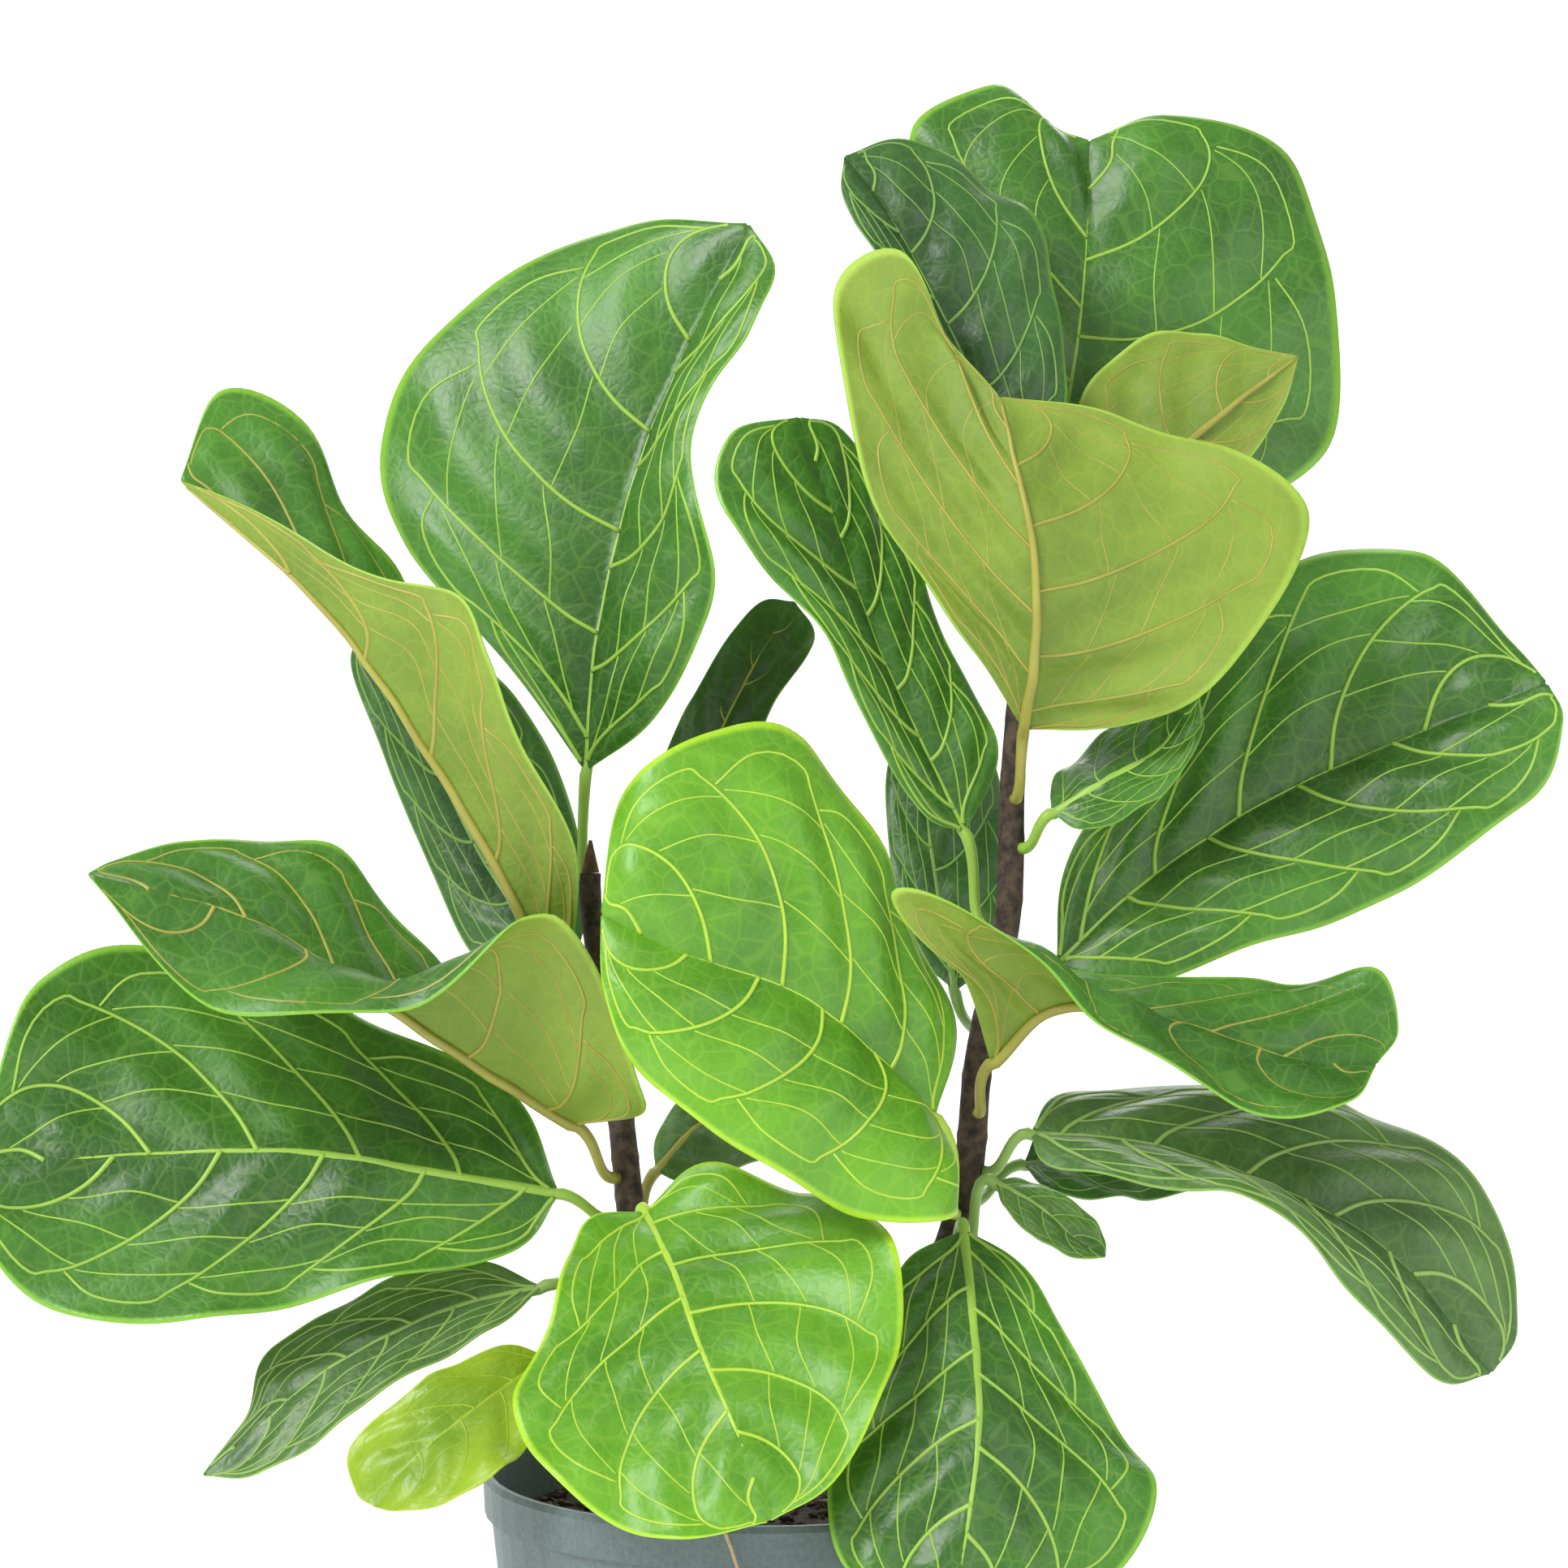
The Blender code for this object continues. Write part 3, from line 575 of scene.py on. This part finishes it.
            (9, -8.6, 37.6), (5, -10.8, 37.6), (-1.4, -11.6, 41),
            (-5.8, -11.4, 44.8), (-7.2, -10.6, 48),
        ],
        "right": [(9.2, -3.4, 46), (6.4, -4, 52.4), (2, -5.6, 59.6), (-2.4, -7.2, 59.8), (-6.4, -8.4, 57)],
        "arch": 0.8,
    },
    "c1": {
        "stalk": 48.6,
        "midrib": [(-4.6, 4.6, 54), (-2.4, 6.4, 59.6), (-0.2, 7.4, 64), (1.6, 8, 66.8)],
        "left": [(-5.2, 5.4, 58), (-3, 7, 63), (-0.4, 8, 66.6)],
        "right": [(-1.6, 5, 57), (0.6, 6.6, 61.6), (2.6, 7.8, 64.8)],
        "arch": -0.2,
    },
}

# %% [markdown]
# ## From rails to a surface
#
# A blade is a sheet stretched between three curves. It could be sculpted by hand, but a formula keeps every
# leaf tidy: a smooth curve runs through each rail, and each cross line joins the left edge, midrib and
# right edge. The blade then swells a little between its side veins, as the real leaf's cushions do.

# %% Rails into smooth curves
# Leaves whose upper side lies the other way round from their left and right rails.
TURNED = {"a2", "a4", "a5", "a6", "a7", "a8", "b1_young", "b3", "b6", "b9"}
# Leaves that show mostly their underside, where the veins stand prouder than on the upper side.
SEEN_FROM_BELOW = {"a2", "a4", "b3", "b1_young", "b6", "c1", "a9"}
ACROSS_STEPS = 28
ALONG_STEPS = 84
STALK_RADIUS = 0.0028
BLADE_HALF = 0.0004
VEIN_RISE = 0.0003
UNDER_VEIN_RISE = -0.0002

# Where side veins leave the midrib, how far they climb, and how far the blade swells and waves.
FIRST_VEIN = 0.06
VEIN_CLIMB = 0.26
SIDE_LAG = 0.35
TIP_REST = 0.6
SWELL = 0.0038
WAVE = 0.0038
RIPPLE = 0.0004


def rail(points, ts):
    """Points on a smooth curve through the rail, at shares ts of its length, as an array."""
    points = np.array(points, float)
    spans = np.linalg.norm(np.diff(points, axis=0), axis=1)
    lengths = np.concatenate([[0], np.cumsum(spans)])
    want = np.clip(np.asarray(ts, float), 0, 1) * lengths[-1]
    index = np.clip(np.searchsorted(lengths, want, side="right") - 1, 0, len(points) - 2)
    local = ((want - lengths[index]) / spans[index])[..., None]
    padded = np.vstack([2 * points[0] - points[1], points, 2 * points[-1] - points[-2]])
    p0, p1, p2, p3 = (padded[index + k] for k in range(4))
    start, end = (p2 - p0) / 2, (p3 - p1) / 2
    s2, s3 = local**2, local**3
    near = p1 * (2 * s3 - 3 * s2 + 1) + start * (s3 - 2 * s2 + local)
    far = p2 * (3 * s2 - 2 * s3) + end * (s3 - s2)
    return near + far


def unit(vectors):
    return vectors / np.maximum(np.linalg.norm(vectors, axis=-1, keepdims=True), 1e-9)


class Blade:
    """One leaf's blade as a surface: across runs from -1 to 1, along from the base to the tip."""

    def __init__(self, name, leaf):
        scaled = {key: np.array(leaf[key], float) * CM for key in ("midrib", "left", "right")}
        self.midrib = scaled["midrib"]
        ends = [self.midrib[:1], self.midrib[-1:]]
        self.left = np.vstack([ends[0], scaled["left"], ends[1]])
        self.right = np.vstack([ends[0], scaled["right"], ends[1]])
        self.arch = leaf["arch"] * CM
        if name in TURNED:
            self.left, self.right, self.arch = self.right, self.left, -self.arch
        self.random = random.Random(name)
        self.rise = UNDER_VEIN_RISE if name in SEEN_FROM_BELOW else VEIN_RISE
        self.shift = self.random.uniform(0, 6)
        self.pairs = 5 if len(leaf["midrib"]) > 4 else 4
        self.length = float(np.linalg.norm(np.diff(self.midrib, axis=0), axis=1).sum())

    def flat(self, across, along):
        middle = rail(self.midrib, along)
        left, right = rail(self.left, along), rail(self.right, along)
        ahead = rail(self.midrib, along + 0.02) - rail(self.midrib, along - 0.02)
        facing = unit(np.cross(right - left, ahead))
        edge = np.where((across > 0)[..., None], right, left)
        share = np.abs(across)[..., None]
        width = np.linalg.norm(edge - middle, axis=-1, keepdims=True)
        lift = self.arch * 4 * share * (1 - share) * np.minimum(1, width / 0.08)
        return middle + (edge - middle) * share + facing * lift, facing, width

    def vein_line(self, share):
        """How far a side vein has climbed towards the tip by this share of the half's width."""
        return VEIN_CLIMB * share**1.5

    def pucker(self, across, along, width):
        """The blade swells between its side veins, and its edge waves gently."""
        share = np.abs(across)[..., None]
        climbed = along[..., None] - self.vein_line(share)
        lag = np.where(across > 0, SIDE_LAG, 0)[..., None]
        phase = (climbed - FIRST_VEIN) * (self.pairs + TIP_REST) + lag
        swell = np.sin(math.pi * (phase % 1)) ** 2
        inner = np.clip(share * 5, 0, 1) * np.clip((1 - share) * 4, 0, 1)
        ends = np.clip(along[..., None] * 6, 0, 1) * np.clip((1 - along[..., None]) * 6, 0, 1)
        wave = np.sin(along[..., None] * 19 + self.shift + across[..., None] * 1.5) * share**3
        wave = wave + 0.6 * np.sin(along[..., None] * 31 + 2 * self.shift - across[..., None] * 2) * share**4
        ripple = np.sin(along[..., None] * 47 + across[..., None] * 9 + self.shift) * RIPPLE
        scale = np.minimum(1, width / 0.06)
        return (swell * inner * SWELL + wave * WAVE + ripple) * ends * scale

    def at(self, across, along):
        across, along = np.broadcast_arrays(np.asarray(across, float), np.asarray(along, float))
        place, facing, width = self.flat(across, along)
        return place + facing * self.pucker(across, along, width)


# %% [markdown]
# ## Building one leaf
#
# A real leaf is a thin sheet with an upper and a lower side, a thick midrib that carries on from the
# stalk, and side veins that climb towards the tip and meet in loops inside the edge. The sheet is a grid
# with two sides. The veins are fine tapered tubes laid in the sheet, so they stand proud on both sides.


# %% Leaf mesh
UPPER_SLOT, UNDER_SLOT, VEIN_SLOT = 0, 1, 2
SIDE_VEIN, SIDE_VEIN_END = 0.0014, 0.00075
CROSS_VEIN, CROSS_VEIN_END = 0.00062, 0.0005
BASE_CROWDING = 0.35


class MeshParts:
    """Gathers grids and tubes, each with its material slot, into one mesh."""

    def __init__(self):
        self.points, self.faces, self.slots, self.maps = [], [], [], []

    def add(self, points, faces, slot, uvs):
        first = len(self.points)
        self.points.extend(map(tuple, points))
        self.maps.extend(uvs)
        self.faces.extend(tuple(first + i for i in face) for face in faces)
        self.slots.extend([slot] * len(faces))

    def build(self, name, materials):
        mesh = bpy.data.meshes.new(name)
        mesh.from_pydata(self.points, [], self.faces)
        layer = mesh.uv_layers.new(name="leaf")
        index = np.empty(len(mesh.loops), np.int32)
        mesh.loops.foreach_get("vertex_index", index)
        layer.data.foreach_set("uv", np.array(self.maps, np.float32)[index].ravel())
        mesh.polygons.foreach_set("material_index", self.slots)
        for material in materials:
            mesh.materials.append(material)
        mesh.shade_smooth()
        mesh.validate()
        piece = bpy.data.objects.new(name, mesh)
        bpy.context.scene.collection.objects.link(piece)
        return piece


def tube(parts, path, radii, slot, sides=7, uv=(0.5, 0.5)):
    """A closed tapered tube along a path of points."""
    path = np.array(path, float)
    ahead = unit(np.gradient(path, axis=0))
    across = np.cross(ahead[0], (0, 0, 1))
    if np.linalg.norm(across) < 0.1:
        across = np.cross(ahead[0], (1, 0, 0))
    points = []
    for place, forward, radius in zip(path, ahead, radii):
        across = unit(across - forward * np.dot(across, forward))
        other = np.cross(forward, across)
        for i in range(sides):
            turn = 2 * math.pi * i / sides
            points.append(place + (across * math.cos(turn) + other * math.sin(turn)) * radius)
    faces = []
    for k in range(len(path) - 1):
        for i in range(sides):
            j = (i + 1) % sides
            faces.append((k * sides + i, k * sides + j, (k + 1) * sides + j, (k + 1) * sides + i))
    faces.append(tuple(reversed(range(sides))))
    faces.append(tuple((len(path) - 1) * sides + i for i in range(sides)))
    parts.add(points, faces, slot, [uv] * len(points))


def add_sheet(parts, blade):
    across = np.linspace(-1, 1, 2 * ACROSS_STEPS + 1)
    along = np.linspace(0.004, 0.996, ALONG_STEPS)
    crowded = 2 * along**2 * BASE_CROWDING + along * (1 - BASE_CROWDING)
    along = np.where(along < 0.5, crowded, along)
    u, v = np.meshgrid(across, along)
    middle = blade.at(u, v)
    normal = unit(np.cross(np.gradient(middle, axis=1), np.gradient(middle, axis=0)))
    rows, columns = u.shape
    uvs = [((a + 1) / 2, b) for a, b in zip(u.ravel(), v.ravel())]
    upper = (middle + normal * BLADE_HALF).reshape(-1, 3)
    lower = (middle - normal * BLADE_HALF).reshape(-1, 3)
    quads = [
        (r * columns + c, r * columns + c + 1, (r + 1) * columns + c + 1, (r + 1) * columns + c)
        for r in range(rows - 1)
        for c in range(columns - 1)
    ]
    count = rows * columns
    rim = [*range(columns), *range(2 * columns - 1, count, columns)]
    rim += [*range(count - 2, count - columns - 1, -1), *range(count - 2 * columns, 0, -columns)]
    band = [(b, a, a + count, b + count) for a, b in zip(rim, rim[1:] + rim[:1])]
    below = [tuple(i + count for i in reversed(quad)) for quad in quads]
    first = len(parts.faces)
    parts.add(np.vstack([upper, lower]), quads + below + band, UPPER_SLOT, uvs + uvs)
    for i in range(first + len(quads), first + len(quads) + len(below)):
        parts.slots[i] = UNDER_SLOT


def add_vein(parts, blade, across, along, thick, fine, slot):
    count = max(10, 7 * len(across))
    route = rail(np.column_stack([across, along, np.zeros(len(across))]), np.linspace(0, 1, count))
    place, facing, width = blade.flat(route[:, 0], route[:, 1])
    path = place + facing * (blade.pucker(route[:, 0], route[:, 1], width) + blade.rise)
    size = np.linspace(0, 1, count)
    tube(parts, path, thick + (fine - thick) * size**0.7, slot, 6)


def add_veins(parts, blade):
    """Side veins climb in pairs, loop inside the edge, and send finer veins across."""
    scale = min(1, blade.length / 0.24)
    step = 1 / (blade.pairs + TIP_REST)
    for side in (-1, 1):
        offset = 0 if side < 0 else -SIDE_LAG * step
        for i in range(-1, blade.pairs + 1):
            start = FIRST_VEIN + i * step + offset
            shares = [s for s in (0, 0.2, 0.42, 0.64, 0.8, 0.87) if 0.01 < start + blade.vein_line(s) < 0.97]
            if len(shares) < 3:
                continue
            across = [side * s for s in shares]
            along = [start + blade.vein_line(s) for s in shares]
            reach = min(along[-1] + step * 0.75, 0.965)
            across += [side * 0.86, side * 0.76]
            along += [(along[-1] + reach) / 2 + 0.01, reach]
            add_vein(parts, blade, across, along, SIDE_VEIN * scale, SIDE_VEIN_END * scale, VEIN_SLOT)
            for s in (0.28, 0.5, 0.7):
                low = start + blade.vein_line(s)
                high = start + step + blade.vein_line(s)
                if low < 0.02 or high > 0.96:
                    continue
                bend = side * (s + blade.random.uniform(-0.05, 0.05))
                across = [side * s, bend, side * (s + 0.03)]
                along = [low, (low + high) / 2, high]
                add_vein(parts, blade, across, along, CROSS_VEIN * scale, CROSS_VEIN_END * scale, VEIN_SLOT)


def stalk_path(blade, seat, out):
    base = Vector(blade.midrib[0])
    run = Vector(unit(blade.midrib[1] - blade.midrib[0]))
    reach = (base - seat).length
    corners = [seat, seat + out * reach * 0.4, base - run * reach * 0.4, base]
    path = []
    for t in np.linspace(0, 0.97, 12):
        a, b, c, d = corners
        rest = 1 - t
        path.append(a * rest**3 + b * 3 * rest**2 * t + c * 3 * rest * t**2 + d * t**3)
    return path


def add_midrib(parts, blade, seat, out):
    """The stalk and the midrib are one tapering piece, deeper on the underside."""
    stalk = stalk_path(blade, seat, out)
    along = np.linspace(0.01, 0.985, 40)
    spine = blade.at(np.zeros(40), along)
    edge = blade.at(np.full(40, 0.08), along) - blade.at(np.full(40, -0.08), along)
    below = unit(np.cross(edge, np.gradient(spine, axis=0)))
    radii = STALK_RADIUS * (1 - along) ** 0.8 * 0.8 + 0.0006
    spine = spine - below * (radii * 0.62)[:, None]
    path = np.vstack([np.array([tuple(p) for p in stalk]), spine])
    swell = [STALK_RADIUS * (1.12 - 0.2 * math.sin(math.pi * k / 11)) for k in range(12)]
    tube(parts, path, [*swell, *radii], VEIN_SLOT, 10)


# %% [markdown]
# ## Where each stalk sits
#
# A stalk leaves its stem squarely, then bends towards its blade. The seat is worked out from the stem's
# own curve and thickness, so a stalk stays on the bark if the stem's route changes.


# %% Stem routes and seats
STEM_STEPS = 18


def stem_axis(route):
    points = np.array(route, float) * CM
    return rail(points, np.linspace(0, 1, STEM_STEPS))


def stem_radius(share):
    return STEM_FOOT_RADIUS + (STEM_TIP_RADIUS - STEM_FOOT_RADIUS) * share


def stalk_seat(route, height, base):
    """Where a stalk leaves its stem, and the direction, square to the stem, that it leaves in."""
    axis = [Vector(p) for p in stem_axis(route)]
    above = next(i for i in range(1, STEM_STEPS) if axis[i].z >= height)
    share = (height - axis[above - 1].z) / (axis[above].z - axis[above - 1].z)
    centre = axis[above - 1].lerp(axis[above], share)
    radius = stem_radius((above - 1 + share) / (STEM_STEPS - 1))
    grain = (axis[above] - axis[above - 1]).normalized()
    level = Vector((base.x - centre.x, base.y - centre.y, 0))
    out = (level - grain * level.dot(grain)).normalized()
    return centre + out * (radius + GAP), out


# %% [markdown]
# ## All the leaves
#
# Leaves in shade get painted shade, deep and grey copies of the green, and sunlit ones get painted light, a
# bright copy; one leaf is turning yellow. Each leaf takes a tone from that short list, so two dozen leaves
# share a few finishes.


# %% Make every leaf
def make_leaf(name, leaf):
    blade = Blade(name, leaf)
    route = STEM_RIGHT if name.startswith("b") else STEM_LEFT
    seat, out = stalk_seat(route, leaf["stalk"] * CM, Vector(blade.midrib[0]))
    parts = MeshParts()
    add_sheet(parts, blade)
    add_veins(parts, blade)
    add_midrib(parts, blade, seat, out)
    tone = LEAF_TONES.get(name, "mid")
    vein = under_vein_material if name in SEEN_FROM_BELOW else vein_materials[tone]
    piece = parts.build(f"{name}_leaf", [upper_materials[tone], under_material, vein])
    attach(piece, "root")
    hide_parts(f"leaf_{name}")
    return piece


# Tones per leaf: bright is painted light on sunlit leaves, deep and grey are painted shade on leaves in
# shade, yellow is the leaf's own colour.
LEAF_TONES = {
    "a3": "shaded_deep", "a6": "shaded_grey", "a7": "yellow", "a8": "sunlit_bright", "a9": "shaded_grey", "b2": "shaded_deep", "b10": "sunlit_bright",
    "b4_back": "shaded_deep", "b7": "shaded_grey", "b8_small": "shaded_grey", "c1": "shaded_deep", "b7_under": "shaded_deep",
}
made = [make_leaf(name, leaf) for name, leaf in LEAVES.items()]
print("leaves:", len(made), "faces:", sum(len(piece.data.polygons) for piece in made))


# %% [markdown]
# ## Bark, plastic, mix and straw
#
# The other finishes are all matt and uneven: dark fissured bark, moulded grey-green plastic, damp mix and dry
# straw. One function makes them from a noise that gives both the colour and the relief, at a scale that
# suits each. The pot keeps the solid model's mesh, because its turned shape is already right.


# %% Bark, pot, mix and straw finishes
def plain_finish(name, dark, light, scale, roughness, bump, distance=0.001, detail=5):
    """A rough natural finish: two colours mixed by noise, with the same noise as relief."""
    material = bpy.data.materials.new(name)
    material.use_nodes = True
    tree = material.node_tree
    shader = tree.nodes["Principled BSDF"]
    grain = noise_node(tree, object_place(tree), scale, detail, 0.62)
    share = ramp_node(tree, grain, 0.3, 0.7)
    link(tree, mix_node(tree, share, (*dark, 1), (*light, 1)), shader.inputs["Base Color"])
    raised = tree.nodes.new("ShaderNodeBump")
    raised.inputs["Strength"].default_value = bump
    raised.inputs["Distance"].default_value = distance
    link(tree, grain, raised.inputs["Height"])
    link(tree, raised.outputs["Normal"], shader.inputs["Normal"])
    shader.inputs["Roughness"].default_value = roughness
    return material


bark = plain_finish("bark", (0.012, 0.008, 0.006), (0.10, 0.065, 0.04), 160, 0.8, 0.9)
plastic = plain_finish("pot_plastic", (0.095, 0.135, 0.135), (0.125, 0.172, 0.168), 420, 0.5, 0.12, 0.0002, 2)
mix = plain_finish("potting_mix", (0.006, 0.004, 0.003), (0.05, 0.034, 0.022), 220, 0.95, 1, 0.002)
chips = plain_finish("bark_chips", (0.03, 0.018, 0.01), (0.13, 0.08, 0.045), 300, 0.85, 0.7)
straw = plain_finish("straw", (0.42, 0.27, 0.11), (0.66, 0.46, 0.23), 180, 0.65, 0.5)
sheath = plain_finish("sheath", (0.06, 0.028, 0.012), (0.22, 0.11, 0.05), 120, 0.75, 0.6)


def refinish(node, material):
    """A frame node keeps its mesh and takes a better material."""
    for holder in nodes[node].material_slots:
        holder.material = material
    if not nodes[node].material_slots:
        nodes[node].data.materials.append(material)


for node, material in (("pot", plastic), ("bud_left", sheath), ("bud_right", sheath)):
    refinish(node, material)
for node in ("dry_strand", "dry_leaf_bit"):
    refinish(node, straw)
print("refinished: pot, buds, strand, leaf bit")


# %% [markdown]
# ## Stems
#
# Young fig stems are dark and ringed with scars where leaves fell. They could be sculpted, but a swept tube
# with a low ring at each scar reads as wood and stays on the stem's route.


# %% Stems with scars
SCARS = 17
SCAR_HEIGHT = 0.0006
SCAR_SHARPNESS = 0.008


def make_stem(side, route):
    parts = MeshParts()
    count = 150
    path = rail(np.array(route, float) * CM, np.linspace(0, 1, count))
    share = np.linspace(0, 1, count)
    rings = SCAR_HEIGHT * np.exp(-(((share * SCARS) % 1 - 0.5) ** 2) / SCAR_SHARPNESS)
    tube(parts, path, stem_radius(share) + rings * np.clip(1.2 - share, 0, 1), 0, 20)
    piece = parts.build(f"{side}_stem", [bark])
    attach(piece, "root")
    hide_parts(f"stem_{side}")


make_stem("left", STEM_LEFT)
make_stem("right", STEM_RIGHT)
print("stems: 2, each with leaf scars:", SCARS)

# %% [markdown]
# ## Potting mix
#
# The mix is peat with bits of bark. A plug fills the pot, and seeded crumbs with small bark chips lie on it.
# A displaced disc would be quicker, but it looks like cloth. Only the top shows, so the crumbs stay there.


# %% Potting mix and chips
MIX_FOOT_SHARE = 0.82
MIX_DIP = 0.004
CRUMBS = 900
CHIP_SHARE = 0.2


def make_mix():
    """A tapered plug of mix with convex crumbs on top, some of them pale chips."""
    low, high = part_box("soil")
    radius = high[0]
    dice = random.Random(7)
    shape = bmesh.new()
    bmesh.ops.create_circle(shape, cap_ends=True, segments=96, radius=radius)
    made_faces = bmesh.ops.extrude_face_region(shape, geom=list(shape.faces))
    rim = [v for v in made_faces["geom"] if isinstance(v, bmesh.types.BMVert)]
    for vertex in shape.verts:
        vertex.co.z = low[2]
    for vertex in rim:
        vertex.co.z = high[2] - MIX_DIP
    bmesh.ops.recalc_face_normals(shape, faces=shape.faces)
    for vertex in shape.verts:
        if vertex not in rim:
            vertex.co.x *= MIX_FOOT_SHARE
            vertex.co.y *= MIX_FOOT_SHARE
    mesh = bpy.data.meshes.new("potting_mix")
    shape.to_mesh(mesh)
    shape.free()
    body = bpy.data.objects.new("potting_mix", mesh)
    bpy.context.scene.collection.objects.link(body)
    mesh.materials.append(mix)
    lumps = MeshParts()
    for _ in range(CRUMBS):
        turn, reach = dice.uniform(0, 2 * math.pi), (radius - 0.006) * math.sqrt(dice.random())
        size = dice.uniform(0.0018, 0.0055)
        centre = Vector((reach * math.cos(turn), reach * math.sin(turn), high[2] - MIX_DIP))
        reaches = (1, 1, 0.7)
        corners = [Vector([dice.uniform(-r, r) for r in reaches]) for _ in range(7)]
        lump = bmesh.new()
        for corner in corners:
            lump.verts.new(centre + corner * size)
        bmesh.ops.convex_hull(lump, input=lump.verts)
        bmesh.ops.delete(lump, geom=[v for v in lump.verts if not v.link_faces], context="VERTS")
        lump.verts.index_update()
        points = [v.co.copy() for v in lump.verts]
        faces = [[v.index for v in f.verts] for f in lump.faces]
        lumps.add(points, faces, 1 if dice.random() < CHIP_SHARE else 0, [(0.5, 0.5)] * len(points))
        lump.free()
    crumbs = lumps.build("mix_crumbs", [mix, chips])
    for piece in (body, crumbs):
        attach(piece, "root")
        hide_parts("soil")


make_mix()
print("mix made")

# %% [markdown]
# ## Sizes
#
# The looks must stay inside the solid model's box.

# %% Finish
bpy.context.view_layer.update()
